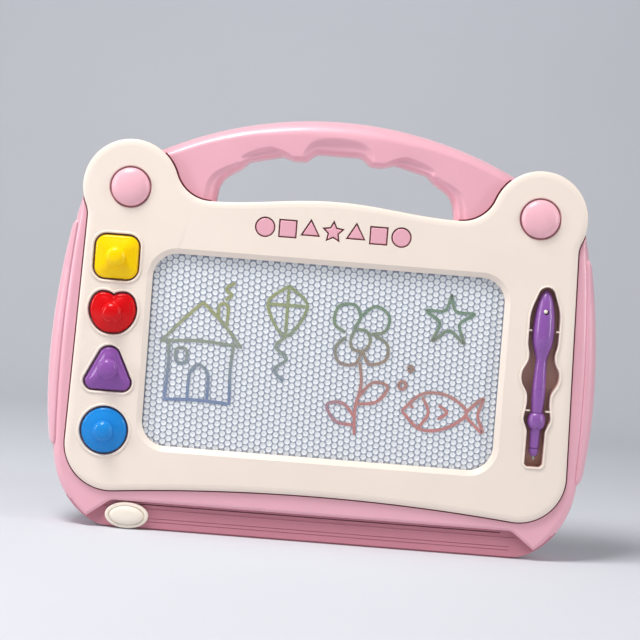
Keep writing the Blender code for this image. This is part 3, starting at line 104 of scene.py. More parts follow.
# Carrying handle
HANDLE_RISE = 0.0636
HANDLE_ARC = 0.283
HANDLE_DEPTH = 0.028
HANDLE_ROUND = 0.012
HANDLE_EAR_LAP = 0.0143
HANDLE_LEG_WIDTH = 0.0455
HAND_HOLE_HEIGHT = 0.0389
WELL_EDGE = 0.0058
WELL_RISE = 0.0066
WELL_EASE_SHARE = 0.5
HAND_HOLE_CORNER_SHARES = [
    (0.190, 1.000, 0.100),
    (0.265, 0.850, 0.065),
    (0.372, 0.845, 0.065),
    (0.470, 0.908, 0.070),
    (0.745, 0.765, 0.040),
    (0.800, 0.640, 0.070),
    (0.975, 0.405, 0.200),
]
WELL_PLACE_SHARES = [(0.0, 0.27, 1.0), (0.56, 0.19, 0.9), (0.94, 0.17, 0.6)]

# Eraser channel along the lower edge
CHANNEL_TOP_Z = 0.020
CHANNEL_REACH = 0.0176
CHANNEL_END_RUN = 0.016
CHANNEL_END_Z = 0.008
CHANNEL_CORNER = 0.009
CHANNEL_DEPTH = 0.0085
CHANNEL_BROW = 0.003
SLOT_DROP = 0.0024
GROOVE_DEPTH = 0.0006
KNOB_FOOT_GAP = 0.0005
KNOB_TOP_GAP = 0.0009
KNOB_END_GAP = 0.0115
KNOB_FLANGE_HALF_WIDTH = 0.0154
KNOB_DOME_HALF_WIDTH = 0.0121
KNOB_DOME_HALF_HEIGHT = 0.0067
KNOB_FLANGE_FRONT = 0.0042
KNOB_TOP_DEPTH = 0.0016
KNOB_RING_WIDTH = 0.0010
KNOB_GROOVE_DEPTH = 0.0008
KNOB_STEM_WIDTH = 0.008

# Eraser carriage and its magnet strip
CARRIAGE_THICKNESS = 0.003
ERASER_MAGNET_THICKNESS = 0.0025
ERASER_MAGNET_AIR = 0.0005
RUNNER_THICKNESS = 0.002
RUNNER_REACH = 0.0156
RUNNER_LOW_RISE = 0.010
RUNNER_HIGH_RISE = 0.002
GUIDE_HALF_HEIGHT = 0.003
GUIDE_THICKNESS = 0.002

# Magnetic panel
PANEL_OVERLAP_X = 0.0041
PANEL_OVERLAP_Z = 0.0036
PANEL_CORNER = 0.004
SHEET_THICKNESS = 0.0005
HONEYCOMB_THICKNESS = 0.0019
RAIL_THICKNESS = 0.0027
RAIL_LAP = 0.003
RAIL_WALL = 0.002

# Stamps, their pockets and magnets
STAMP_SHIFT = 0.0006
STAMP_SIZE = 0.0336
STAMP_SQUARE_SIZE = 0.0320
STAMP_SQUARE_CORNER = 0.0085
STAMP_TRIANGLE_HEIGHT = 0.0318
STAMP_TRIANGLE_TIP = 0.0085
STAMP_TRIANGLE_FOOT = 0.0065
STAMP_HEART_HEIGHT = 0.0296
STAMP_FLOOR_DEPTH = 0.0070
STAMP_RIM_DEPTH = 0.0006
STAMP_DOME = 0.0034
STAMP_KNOB_RADIUS = 0.0072
STAMP_KNOB_REACH = 0.010
STAMP_MAGNET_RADIUS = 0.0085
STAMP_MAGNET_THICKNESS = 0.002
POCKET_RIM_WIDTH = 0.0018
POCKET_RIM_HEIGHT = 0.0008
TRAY_WALL = 0.0015
STAMP_KINDS = ["circle", "triangle", "heart", "square"]
STAMP_SPACE_SHARES = [0.3505, 0.1516, 0.1209, 0.1147]
HEART_HALF_SHARES = [
    (0.00, 0.425), (0.14, 0.470), (0.36, 0.500), (0.64, 0.475), (0.88, 0.345), (1.00, 0.105),
    (0.94, -0.120), (0.74, -0.320), (0.46, -0.450), (0.17, -0.500),
]
STAMP_KNOB_SHARES = [
    (0.96, 0.0), (0.97, 0.2), (1.0, 0.34), (0.98, 0.52), (0.88, 0.7), (0.68, 0.86), (0.4, 0.965),
]

# Pen and its well
PEN_SHIFT = 0.0024
PEN_AXIS_DEPTH = 0.0045
PEN_TOP_SHARE = 0.963
PEN_BARREL_LENGTH = 0.0868
PEN_BELLY_RADIUS = 0.0080
PEN_BARREL_SHARES = [
    (0.000, 0.51), (0.020, 0.52), (0.067, 0.57), (0.135, 0.60), (0.236, 0.58), (0.348, 0.53), (0.427, 0.50),
    (0.472, 0.60), (0.517, 0.75), (0.550, 0.85), (0.595, 0.93), (0.652, 0.95), (0.742, 0.92), (0.798, 0.86),
    (0.854, 0.78), (0.910, 0.65), (0.955, 0.47), (0.983, 0.28),
]
PEN_END_SHARES = (0.06, 1.0)
PEN_COLLAR_RADIUS = 0.0065
PEN_COLLAR_LENGTH = 0.011
PEN_NOSE_LENGTH = 0.0195
PEN_NOSE_RADIUS = 0.0041
PEN_TIP_RADIUS = 0.0026
PEN_SPIGOT_RADIUS = 0.0022
PEN_SPIGOT_LENGTH = 0.008
PEN_NIB_RADIUS = 0.0011
PEN_NIB_REACH = 0.003
PEN_NIB_SEAT = 0.006
PEN_STRING_HOLE = 0.0019
PEN_STRING_SHARE = 0.82
PEN_FLOOR_GAP = 0.0005
WELL_BELLY_ROOM = 0.0027
WELL_WAIST_ROOM = 0.0041
WELL_FINGER_ROOM = 0.0052
WELL_BALL_ROOM = 0.0033
WELL_FOOT_ROOM = 0.0024
WELL_CROWN_NARROWING = 0.0065
WELL_TOP_GAP = 0.0018
WELL_FOOT_GAP = 0.0046
WELL_ROUND = 0.010
WELL_SHAPE_SHARES = [
    ("foot", 0.000, 0.3), ("foot", 0.200, 0.4), ("ball", 0.262, 0.6), ("waist", 0.345, 0.3),
    ("waist", 0.405, 1.2), ("finger", 0.470, 1.2), ("finger", 0.530, 1.2),
    ("waist", 0.600, 1.4), ("top", 0.680, 2.0), ("top", 0.860, 3.0), ("crown", 1.000, 0.6),
]
NUB_GAP = 0.0005
NUB_REACH = 0.0026
NUB_HALF_HEIGHT = 0.0006
NUB_UP_SHARE = 0.758
NUB_LOW_SHARE = 0.313

# Ear caps
CAP_RADIUS = 0.0141
CAP_DOME = 0.005
CAP_GAP = 0.0005

# Row of raised shapes above the window
SHAPE_COUNT = 7
SHAPE_RADIUS = 0.0062
SHAPE_SPACE = 0.0036
SHAPE_UP_SHARE = 0.611
SHAPE_GAP = 0.0010
SHAPE_TOP_DEPTH = 0.0002
STAR_WAIST_SHARE = 0.5
STAR_TIPS = 5
TRIANGLE_TURNS = (math.pi / 3, math.pi, math.tau * 5 / 6)

# Screws that hold the two shells together
SCREW_SHANK = 0.0015
SCREW_HEAD = 0.0030
SCREW_HEAD_HEIGHT = 0.0018
SCREW_FLAT = 0.3
SCREW_CROSS_LONG = 0.55
SCREW_CROSS_THIN = 0.14
SCREW_CROSS_DEEP = 0.35
SCREW_GAP = 0.0003
SCREW_BITE = 0.007
BOSS_RADIUS = 0.0042
POST_RADIUS = 0.0026
POST_REACH = 0.012
POST_BORE_END = 0.005
POST_BITE = 0.0055
SCREW_RECESS = 0.007
HANDLE_SCREW_RECESS = 0.006
SCREW_EAR_INSET = 0.0185
SCREW_EAR_DROP = 0.0215
SCREW_TOP_SPACE = 0.0178
SCREW_TOP_DROP = 0.0135
SCREW_LOW_INSET = 0.033
SCREW_LOW_Z = 0.036
SCREW_HANDLE_INSET = 0.0155
SCREW_HANDLE_RISE = 0.021

# Counts that set how finely curves are drawn
ARC_STEP = math.radians(6)
EAR_STEPS = 33
FILLET_STEPS = 15
CROWN_STEPS = 21
CORNER_STEPS = 24
FLANK_STEPS = 15
ARCH_STEPS = 16
NECK_STEPS = 8
EDGE_STEPS = 8
HANDLE_STATIONS = 97
GRIP_STATIONS = 33
ROUND_SIDES = 96
SMALL_SIDES = 64
SCREW_SIDES = 32
SMOOTH_ANGLE = math.radians(32)
STRAIGHT_ANGLE = math.radians(89)
EAR_START_ANGLE = math.radians(-8)
MITRE_FLOOR = 0.4
WELD = 0.000001
FLARE_STEPS = 5
DOME_STEPS = 14
KNOB_CURVE_STEPS = 5
HEART_STEPS = 6
PEN_CURVE_STEPS = 5
CELL_SIDES = 14
STROKE_STEPS = 8
STROKE_LEVELS = 9

# Soft edges and fine forms that only the looks have
CAP_FLARE = 0.0009
SEEN_GAP = 0.0007
SHAPE_FLARE = 0.0003
SHAPE_EDGE = 0.0008
BAND_LOW_Z = 0.0147
BAND_DEPTH = 0.0007
CHANNEL_LINES = (0.0056, 0.0080)
LINE_HEIGHT = 0.0005
FOOT_GAP_HEIGHT = 0.0014
FOOT_GAP_DEPTH = 0.0018
STEM_LOW_Z = 0.0176
STEM_HIGH_Z = 0.0181
STEM_GAP = 0.0001
CAP_EDGE = 0.0002
CAP_ROUND = 0.9
CAP_TIP = 0.01
SHADOW_LINE_OUT = 0.0011
SHADOW_LINE_IN = 0.0005
SHADOW_LINE_DEPTH = 0.0012
SHAPE_STEP_SHARE = 0.8
SHAPE_STEP_DEPTH = 0.0016
BORDER_WIDTH = 0.0046
BEZEL_EDGE_SHARES = [(0.0, 1.0), (0.015, 0.82), (0.06, 0.64), (0.15, 0.46), (0.28, 0.31), (0.45, 0.185),
                     (0.64, 0.1), (0.82, 0.05), (0.95, 0.02), (1.0, 0.0)]
WELL_RIM_WIDTH = 0.0014
RIM_CREST = 0.5
RIM_SHARES = [(1.0, 0.0), (0.97, 0.4), (0.88, 0.75), (0.72, 0.95), (0.5, 1.0)]
RIM_INNER_SHARES = [(0.5, 1.0), (0.28, 0.93), (0.12, 0.72), (0.03, 0.4), (0.0, 0.0)]
WINDOW_SLOPE_SHARES = [(1.1, 0.0), (1.05, 0.03), (0.98, 0.1), (0.9, 0.18), (0.5, 0.52), (0.16, 0.82),
                       (0.05, 0.93), (0.0, 1.0)]
GRIP_END_ROUND = 0.004
GRIP_SINK = 0.0025
GRIP_RIDGE_DEPTH = 0.0042
GRIP_RIDGE_WIDTH = 0.0024
GRIP_LEAN = 0.8
GRIP_CROWN_RISE = 0.0044
GRIP_RIDGE_RISE = 0.001
GRIP_RIDGE_SHARES = [(1.0, 1.0), (0.86, 0.5), (0.7, 0.18), (0.5, 0.0), (0.28, 0.04), (0.05, 0.4)]
GRIP_CURVE_SHARES = [(0.12, 0.03), (0.3, 0.075), (0.5, 0.14), (0.68, 0.225), (0.82, 0.33), (0.92, 0.45),
                     (0.98, 0.6), (1.0, 0.8), (1.0, 1.0)]
GRIP_ROOT_SHARE = 0.6
WELL_STEPS = 18
WELL_LIP = 0.0045
WELL_STEP_SHARE = 0.4
WELL_DROP = 0.0030
DOME_RUN_SHARE = 0.82
KNOB_SINK = 0.0012
KNOB_TIP = 0.02
STAMP_KNOB_TIP = 0.05
STAMP_EDGE = 0.0026
STAMP_EDGE_UP = 0.6
PLUG_RADIUS = 0.0014
PLUG_OFF = 0.0004
PLUG_REACH = 0.0062
PLUG_SINK_SHARE = 0.5
PLUG_DOME_SHARE = 0.6
PEN_WAIST_SHARES = [(0.9, 0.9), (0.87, 0.6), (0.86, 0.31), (0.68, 0.303), (0.68, 0.272), (0.88, 0.265),
                    (0.87, 0.19), (0.8, 0.12), (0.7, 0.06)]
PEN_TIP_SHARES = [(1.0, 0.035), (0.92, 0.018), (0.82, 0.006), (0.7, 0.0)]
KNOB_GROOVE_SHARES = [(0.0, 0.0), (0.15, 0.4), (0.4, 0.9), (0.6, 1.0), (0.8, 0.8), (1.0, 0.0)]
KNOB_DOME_ROUND = 0.75

# Honeycomb and drawn lines
CELL_PITCH_X = 0.0042
CELL_PITCH_Z = 0.0044
CELL_RADIUS = 0.00204
CELL_MARGIN = 0.0005
CELL_DEPTH = 0.0004
SPOT_RADIUS = 0.00045
SPOT_HEIGHT = 0.00003
DOODLE_UNIT = 0.001
STROKE_HALF_WIDTH = 0.0011
STROKE_WAVER = 0.1
STROKE_END_SHARE = 0.55
STROKE_FRONT = 0.00506
STROKE_STEP = 0.00001
STROKE_BACK = 0.00526
ZONE_BLEND = 0.030
POWDER_LOW_STOPS = [(0.0, (54, 92, 150)), (0.42, (62, 92, 136)), (0.6, (174, 70, 60)), (1.0, (180, 78, 68))]
POWDER_HIGH_STOPS = [(0.0, (136, 136, 18)), (0.35, (124, 132, 26)), (0.55, (54, 102, 46)),
                     (1.0, (46, 98, 54))]
DOODLES = [
    [(-110, -34), (-109, -10), (-110, 8)],
    [(-64, -34), (-65, -12), (-64, 9)],
    [(-111, -35), (-88, -34), (-63, -35)],
    [(-116, 5), (-101, 22), (-87, 36)],
    [(-88, 36), (-72, 21), (-58, 5)],
    [(-116, 6), (-88, 8), (-58, 6)],
    [(-94, -34), (-94, -22), (-93, -14), (-87, -9), (-81, -14), (-80, -22), (-80, -34)],
    [(-104, -8), (-104, 1), (-97, 1), (-97, -8), (-104, -8)],
    [(-76, 24), (-76, 34), (-70, 34), (-70, 18)],
    [(-72, 38), (-68, 42), (-72, 46), (-66, 51)],
    [(-28, 52), (-14, 38), (-28, 16), (-42, 38), (-28, 52)],
    [(-28, 52), (-28, 16)],
    [(-42, 38), (-14, 38)],
    [(-28, 16), (-34, 8), (-26, 0), (-34, -8), (-27, -16)],
    [(14, 22), (6, 28), (8, 40), (19, 42), (24, 34), (20, 25)],
    [(24, 34), (34, 42), (44, 36), (42, 25), (32, 22)],
    [(34, 22), (44, 16), (44, 5), (33, 1), (27, 10)],
    [(27, 9), (22, 0), (11, 1), (8, 11), (15, 19)],
    [(18, 17), (21, 24), (29, 24), (32, 17), (28, 10), (20, 11), (18, 17)],
    [(26, 2), (28, -14), (25, -32), (26, -50)],
    [(26, -24), (36, -12), (47, -14), (40, -25), (26, -28)],
    [(26, -38), (16, -28), (5, -30), (12, -41), (26, -43)],
    [(87, 55), (91, 43), (104, 42), (94, 34), (98, 21), (87, 29), (76, 21), (80, 34), (70, 42), (83, 43),
     (87, 55)],
    [(58, -30), (72, -17), (90, -17), (104, -28), (90, -40), (72, -42), (58, -30)],
    [(103, -28), (115, -17), (112, -29), (116, -41), (103, -30)],
    [(72, -19), (77, -30), (71, -41)],
    [(84, -24), (90, -29), (84, -34)],
    [(64, -26), (66, -27)],
    [(54, -12), (57, -9), (60, -12), (57, -15), (54, -12)],
    [(60, 0), (62, 2), (64, 0), (62, -2), (60, 0)],
]

# Surfaces: noises as pairs of scale and detail, for drift of colour, gloss and relief
SRGB_STEP = 0.04045
SRGB_SLOPE = 12.92
SRGB_LIFT = 0.055
SRGB_POWER = 2.4
MOULDED_TONES = (0.97, 1.02)
MOULDED_SCALES = ((16, 3), (70, 4), (1800, 2))
MOULDED_GRAIN = 0.000012
GLOSS_GRAIN = 0.000006
MAGNET_GRAIN = 0.00003
GLOSS_BELOW = 0.05
GLOSS_ABOVE = 0.07
COAT_ROUGHNESS = 0.07
SHEEN_ROUGHNESS = 0.45
BRUSH_TONES = (0.8, 1.1)
BRUSH_SCALE = (900, 3)
BRUSH_STRETCH = (1.0, 9.0, 1.0)
BRUSH_GLOSS = (0.22, 0.42)
BRUSH_DEPTH = 0.00001
FILM_ALPHA = 0.06
FILM_SCALES = ((70, 3), (60, 2))
FILM_GLOSS = (0.10, 0.2)
FILM_WAVES = 0.00002
FILLING_SCALES = ((220, 3), (90, 2), (5000, 2))
FILLING_GLOSS = (0.5, 0.7)
FILLING_GRAIN = 0.00002
POWDER_SCALES = ((2400, 2), (900, 2), (2600, 3))
POWDER_SPECKS = 0.16
POWDER_GLOSS = (0.55, 0.8)
POWDER_GRAIN = 0.00006
STAGE_TONES = (0.985, 1.01)
STAGE_SCALE = (3, 2)
STAGE_ROUGHNESS = 0.7

# Studio and camera
STAGE_HALF_WIDTH = 7.0
STAGE_FRONT = 7.0
STAGE_BACK = 0.9
STAGE_SWEEP = 0.6
STAGE_HEIGHT = 2.6
KEY_PLACE = (-0.5, -0.6, 1.6)
KEY_SIZE = 0.6
KEY_POWER = 25.6
KEY_TINT = (1.0, 0.985, 0.965)
FILL_PLACE = (1.4, -1.5, 0.8)
FILL_SIZE = 1.2
FILL_POWER = 1.5
WORLD_STRENGTH = 0.26
STRIP_X = 1.15
STRIP_Y = -0.45
STRIP_Z = 0.55
STRIP_WIDTH = 0.14
STRIP_HEIGHT = 0.9
STRIP_LEFT_POWER = 6.1
STRIP_RIGHT_POWER = 5.4
WORLD_TINT = (0.98, 0.985, 1.0, 1.0)
CAMERA_LENS = 95.6
CAMERA_SENSOR = 36.0
CAMERA_DISTANCE = 1.210
CAMERA_ELEVATION = math.radians(2)
CAMERA_ROLL = math.radians(4.53)
CAMERA_TARGET_X = -0.0045
CAMERA_TARGET_Z = 0.1584

# Places and sizes that follow from the ones above
FRONT_DATUM = (BOARD_DEPTH - STAMP_KNOB_REACH) / 2
WINDOW_HALF_WIDTH = WINDOW_WIDTH / 2
WINDOW_BOTTOM_Z = BEZEL_FOOT_Z + BOTTOM_BAND
WINDOW_TOP_Z = WINDOW_BOTTOM_Z + WINDOW_HEIGHT
WINDOW_MID_Z = (WINDOW_BOTTOM_Z + WINDOW_TOP_Z) / 2
BOARD_TOP_Z = WINDOW_TOP_Z + TOP_BAND
BEZEL_HALF_WIDTH = WINDOW_HALF_WIDTH + SIDE_BAND
BODY_HALF_WIDTH = BEZEL_HALF_WIDTH + FLANK_WIDTH
EAR_X = BEZEL_HALF_WIDTH + EAR_OUTSET - EAR_RADIUS
EAR_Z = BOARD_TOP_Z + EAR_LIFT
FLANK_TOP_Z = EAR_Z - FLANK_DROP
HAND_HOLE_HALF_WIDTH = EAR_X - HANDLE_EAR_LAP - HANDLE_LEG_WIDTH
PANEL_HALF_WIDTH = WINDOW_HALF_WIDTH + PANEL_OVERLAP_X
PANEL_BOTTOM_Z = WINDOW_BOTTOM_Z - PANEL_OVERLAP_Z
PANEL_TOP_Z = WINDOW_TOP_Z + PANEL_OVERLAP_Z
MARGIN_X = (WINDOW_HALF_WIDTH + BEZEL_HALF_WIDTH) / 2
STAMP_X = -MARGIN_X + STAMP_SHIFT
PEN_X = MARGIN_X + PEN_SHIFT
DECK_FRONT = BEZEL_THICKNESS + SEAT_GAP
DECK_BACK = DECK_FRONT + WALL
PANEL_FRONT = LIP_REACH + SEAT_GAP
HONEYCOMB_FRONT = PANEL_FRONT + SHEET_THICKNESS + SEAT_GAP
BACK_SHEET_FRONT = HONEYCOMB_FRONT + HONEYCOMB_THICKNESS + SEAT_GAP
PANEL_BACK = BACK_SHEET_FRONT + SHEET_THICKNESS
RAIL_FRONT = PANEL_BACK + SEAT_GAP
RAIL_BACK = RAIL_FRONT + RAIL_THICKNESS
CHANNEL_WALL_BACK = CHANNEL_DEPTH + WALL
STRIP_BACK = PANEL_BACK + ERASER_MAGNET_AIR + ERASER_MAGNET_THICKNESS
CARRIAGE_FRONT = max(RAIL_BACK, CHANNEL_WALL_BACK, STRIP_BACK) + SEAT_GAP
CARRIAGE_BACK = CARRIAGE_FRONT + CARRIAGE_THICKNESS
REAR_WALL_FRONT = BOARD_DEPTH - WALL
FRONT_SHELL_BACK = PARTING_DEPTH - SEAT_GAP / 2
REAR_SHELL_FRONT = PARTING_DEPTH + SEAT_GAP / 2
PEN_TOP_Z = WINDOW_BOTTOM_Z + WINDOW_HEIGHT * PEN_TOP_SHARE
PEN_BARREL_FOOT_Z = PEN_TOP_Z - PEN_BARREL_LENGTH
PEN_COLLAR_FOOT_Z = PEN_BARREL_FOOT_Z - SEAT_GAP - PEN_COLLAR_LENGTH
PEN_TIP_Z = PEN_COLLAR_FOOT_Z - PEN_NOSE_LENGTH
PEN_WELL_FLOOR = PEN_AXIS_DEPTH + PEN_BELLY_RADIUS + PEN_FLOOR_GAP
CHANNEL_HALF_WIDTH = WINDOW_HALF_WIDTH + CHANNEL_REACH
SLOT_Z = CHANNEL_TOP_Z - SLOT_DROP
KNOB_FLANGE_HALF_HEIGHT = (CHANNEL_TOP_Z - KNOB_TOP_GAP - KNOB_FOOT_GAP) / 2
KNOB_Z = KNOB_FOOT_GAP + KNOB_FLANGE_HALF_HEIGHT
KNOB_START_X = -(CHANNEL_HALF_WIDTH - KNOB_END_GAP)
ERASER_TRAVEL = -2 * KNOB_START_X
SHAPE_PITCH = 2 * SHAPE_RADIUS + SHAPE_SPACE
SCREW_TOP_X = (SHAPE_COUNT - 1) / 2 * SHAPE_PITCH + SHAPE_RADIUS + SCREW_TOP_SPACE
SCREW_HANDLE_X = HAND_HOLE_HALF_WIDTH + SCREW_HANDLE_INSET
SCREW_SEAT_DEPTH = BOARD_DEPTH - SCREW_RECESS
HANDLE_SCREW_SEAT_DEPTH = PARTING_DEPTH + HANDLE_DEPTH / 2 - HANDLE_SCREW_RECESS
WELL_TOP_Z = PEN_TOP_Z + WELL_TOP_GAP
WELL_FOOT_Z = PEN_TIP_Z - PEN_NIB_REACH - WELL_FOOT_GAP
WELL_HEIGHT = WELL_TOP_Z - WELL_FOOT_Z
DECK_SEAM = DECK_FRONT + SHADOW_LINE_DEPTH
HANDLE_SEAM = PARTING_DEPTH - HANDLE_DEPTH / 2 + 2 * SHADOW_LINE_DEPTH
FLOOR_REACH = 20 * WELD
SIDES = ((-1, "left"), (1, "right"))

# Colours as red, green and blue out of 255
CREAM = (237, 223, 211)
KNOB_CREAM = (238, 228, 214)
PINK = (229, 168, 183)
# Darker pink in the eraser channel: painted shade in its recess
CHANNEL_PAINTED_SHADE = (194, 126, 141)
# Dark floors of the seam grooves and round the raised shapes: painted shade
SEAM_PAINTED_SHADE = (128, 62, 74)
# Pen well's tray, a darkened cream-brown: painted shade in the deep well
WELL_PAINTED_SHADE = (222, 182, 168)
# Ear caps: the pink made a little lighter, painted light
CAP_PAINTED_LIGHT = (237, 180, 192)
YELLOW = (250, 207, 0)
RED = (210, 8, 16)
PURPLE = (138, 84, 162)
PEN_PURPLE = (136, 82, 162)
BLUE = (30, 132, 210)
CELL_WHITE = (238, 240, 242)
CELL_GREY = (204, 209, 218)
WALL_BLUE = (126, 135, 156)
FILM = (240, 246, 252)
BACK_SHEET_WHITE = (226, 228, 228)
MAGNET_GREY = (58, 56, 54)
STEEL = (176, 178, 180)
FLOOR = (208, 211, 218)

# Moulded surfaces: colour, roughness, clear coat, grain, specular level and sheen
STAMP_GLOSS = (0.26, 0.3, GLOSS_GRAIN, 0.1)
MOULDED = {
    "cream_moulded": (CREAM, 0.34),
    "pink_moulded": (PINK, 0.38, 0.2, MOULDED_GRAIN, 0.7, 0.5),
    # Painted shade of the eraser channel's recess
    "channel_painted_shade": (CHANNEL_PAINTED_SHADE, 0.34),
    # Painted shade on the floors of the seam grooves
    "seam_shade": (SEAM_PAINTED_SHADE, 0.6),
    # Painted shade inside the pen's well
    "well_painted_shade": (WELL_PAINTED_SHADE, 0.5),
    # Painted light: a lighter copy of the pink for the ear caps
    "cap_painted_light": (CAP_PAINTED_LIGHT, 0.3),
    "square_gloss": (YELLOW, *STAMP_GLOSS),
    "heart_gloss": (RED, *STAMP_GLOSS),
    "triangle_gloss": (PURPLE, *STAMP_GLOSS),
    "circle_gloss": (BLUE, *STAMP_GLOSS),
    "pen_gloss": (PEN_PURPLE, 0.3, 0.25, GLOSS_GRAIN, 0.5),
    "eyelet_moulded": (KNOB_CREAM, 0.3),
    "knob_moulded": (KNOB_CREAM, 0.28),
    "magnet_bonded": (MAGNET_GREY, 0.6, 0.0, MAGNET_GRAIN),
    "carriage_moulded": (BACK_SHEET_WHITE, 0.45),
}

# Surfaces of the panel: colour and its two tones
FILLINGS = {
    "cell_wall": (WALL_BLUE, 0.9, 1.05),
    "cell_filling": (CELL_WHITE, 0.97, 1.02),
    "cell_spot": (CELL_GREY, 0.95, 1.05),
    "backing_film": (BACK_SHEET_WHITE, 0.97, 1.02),
}

# Colour slot of each stamp
STAMP_SLOTS = {"square": "yellow_plastic", "heart": "red_plastic", "triangle": "purple_plastic",
               "circle": "blue_plastic"}


def world_y(depth):
    """The Y place of a depth behind the bezel's face."""
    return depth - FRONT_DATUM


# Outlines of (x, z) points

def arc(centre, radius_x, radius_z, start, end, steps):
    """Points on an ellipse between two angles, with both ends."""
    x, z = centre
    turns = [start + (end - start) * k / steps for k in range(steps + 1)]
    return [(x + radius_x * math.cos(turn), z + radius_z * math.sin(turn)) for turn in turns]


def quarter(steps):
    """Sine and cosine at even steps of a quarter turn."""
    return [(z, x) for x, z in arc((0.0, 0.0), 1.0, 1.0, 0.0, math.pi / 2, steps)]


def oval(centre, radius_x, radius_z, sides):
    """A closed oval outline."""
    return arc(centre, radius_x, radius_z, 0.0, math.tau, sides)[:-1]


def circle(centre, radius, sides):
    """A closed round outline."""
    return oval(centre, radius, radius, sides)


def rounded(corners):
    """A closed outline whose corners (x, z, radius) are turned into arcs."""
    points = []
    for k, (x, z, radius) in enumerate(corners):
        corner = Vector((x, z))
        before = (Vector(corners[k - 1][:2]) - corner).normalized()
        after = (Vector(corners[(k + 1) % len(corners)][:2]) - corner).normalized()
        half = before.angle(after) / 2
        if radius <= 0 or half > STRAIGHT_ANGLE:
            points.append((x, z))
            continue
        centre = corner + (before + after).normalized() * (radius / math.sin(half))
        spoke = corner + before * (radius / math.tan(half)) - centre
        turn = math.pi - 2 * half
        side = 1 if (-before).cross(after) > 0 else -1
        steps = max(1, math.ceil(turn / ARC_STEP))
        for j in range(steps + 1):
            points.append(tuple(centre + Matrix.Rotation(side * turn * j / steps, 2) @ spoke))
    return points


def box_outline(x0, x1, z0, z1, corner=0.0):
    """A rectangle, with its corners rounded if a radius is given."""
    return rounded([(x0, z0, corner), (x1, z0, corner), (x1, z1, corner), (x0, z1, corner)])


def inset(outline, distance):
    """Move an outline inwards by a distance, or by one distance for each point."""
    places = [Vector(point) for point in outline]
    distances = distance if isinstance(distance, list) else [distance] * len(places)
    moved = []
    for before, here, after, far in zip(places[-1:] + places, places, places[1:] + places[:1], distances):
        into = (here - before).normalized()
        out = (after - here).normalized()
        first = Vector((-into.y, into.x))
        mitre = (first + Vector((-out.y, out.x))).normalized()
        stretch = 1 / max(mitre.dot(first), MITRE_FLOOR)
        moved.append(tuple(here + mitre * far * stretch))
    return moved


def shifted(outline, x, z):
    """Move an outline sideways and up."""
    return [(px + x, pz + z) for px, pz in outline]


def mirrored(points):
    """The mirror image of a line of points, run through backwards."""
    return [(-x, z) for x, z in reversed(points)]


def resampled(points, count):
    """Spread a number of points evenly along an open line of points."""
    lengths = [0.0]
    for a, b in zip(points, points[1:]):
        lengths.append(lengths[-1] + math.dist(a, b))
    spread_out = []
    j = 0
    for k in range(count):
        wanted = lengths[-1] * k / (count - 1)
        while j < len(points) - 2 and lengths[j + 1] < wanted:
            j += 1
        share = (wanted - lengths[j]) / (lengths[j + 1] - lengths[j])
        a, b = points[j:j + 2]
        spread_out.append((a[0] + (b[0] - a[0]) * share, a[1] + (b[1] - a[1]) * share))
    return spread_out


def smoothed(points, steps):
    """Points on a smooth curve through an open line of points."""
    places = [Vector(p) for p in points]
    places = [2 * places[0] - places[1]] + places + [2 * places[-1] - places[-2]]
    curve = []
    for a, b, c, d in zip(places, places[1:], places[2:], places[3:]):
        for k in range(steps):
            t = k / steps
            curve.append(0.5 * (2 * b + (c - a) * t + (2 * a - 5 * b + 4 * c - d) * t ** 2
                                + (3 * b - a - 3 * c + d) * t ** 3))
    return [tuple(p) for p in curve] + [tuple(points[-1])]


def top_edge(inset_by):
    """Right half of the edge between the ears, from the ear's outer side to the upper centre."""
    ear = EAR_RADIUS - inset_by
    fillet = EAR_FILLET + inset_by
    fillet_z = BOARD_TOP_Z + EAR_FILLET
    fillet_x = EAR_X - math.sqrt((ear + fillet) ** 2 - (fillet_z - EAR_Z) ** 2)
    meet = math.atan2(fillet_z - EAR_Z, fillet_x - EAR_X)
    points = arc((fillet_x, fillet_z), fillet, fillet, meet - math.pi, -math.pi / 2, FILLET_STEPS)[1:]
    for k in range(1, CROWN_STEPS + 1):
        share = k / CROWN_STEPS
        rise = BEZEL_CROWN_RISE * (1 - math.cos(math.pi * share)) / 2
        points.append((fillet_x * (1 - share), BOARD_TOP_Z - inset_by + rise))
    return meet, points


def bezel_outline():
    """Outer edge of the bezel: arched lower edge, round corners, leaning sides and two ears."""
    corner = (BEZEL_HALF_WIDTH - BEZEL_CORNER, BEZEL_FOOT_Z + BEZEL_CORNER)
    sink = BEZEL_CORNER - BEZEL_ARCH_RISE
    arch = (corner[0] ** 2 + sink ** 2 - BEZEL_CORNER ** 2) / (2 * BEZEL_ARCH_RISE)
    lean = math.asin(corner[0] / (arch + BEZEL_CORNER))
    arch_centre = (0.0, BEZEL_FOOT_Z + BEZEL_ARCH_RISE - arch)
    right = arc(arch_centre, arch, arch, math.pi / 2, math.pi / 2 - lean, ARCH_STEPS)
    right += arc(corner, BEZEL_CORNER, BEZEL_CORNER, -math.pi / 2 - lean, 0.0, CORNER_STEPS)[1:]
    neck_x = BEZEL_HALF_WIDTH - NECK_INSET + NECK_RADIUS
    reach = EAR_RADIUS + NECK_RADIUS
    neck_z = EAR_Z - math.sqrt(reach ** 2 - (neck_x - EAR_X) ** 2)
    neck_turn = math.atan2(EAR_Z - neck_z, neck_x - EAR_X)
    right += arc((neck_x, neck_z), NECK_RADIUS, NECK_RADIUS, math.pi, math.pi - neck_turn, NECK_STEPS)
    meet, top = top_edge(0.0)
    right += arc((EAR_X, EAR_Z), EAR_RADIUS, EAR_RADIUS, -neck_turn, meet, EAR_STEPS)[1:] + top
    return right + mirrored(right[1:-1])


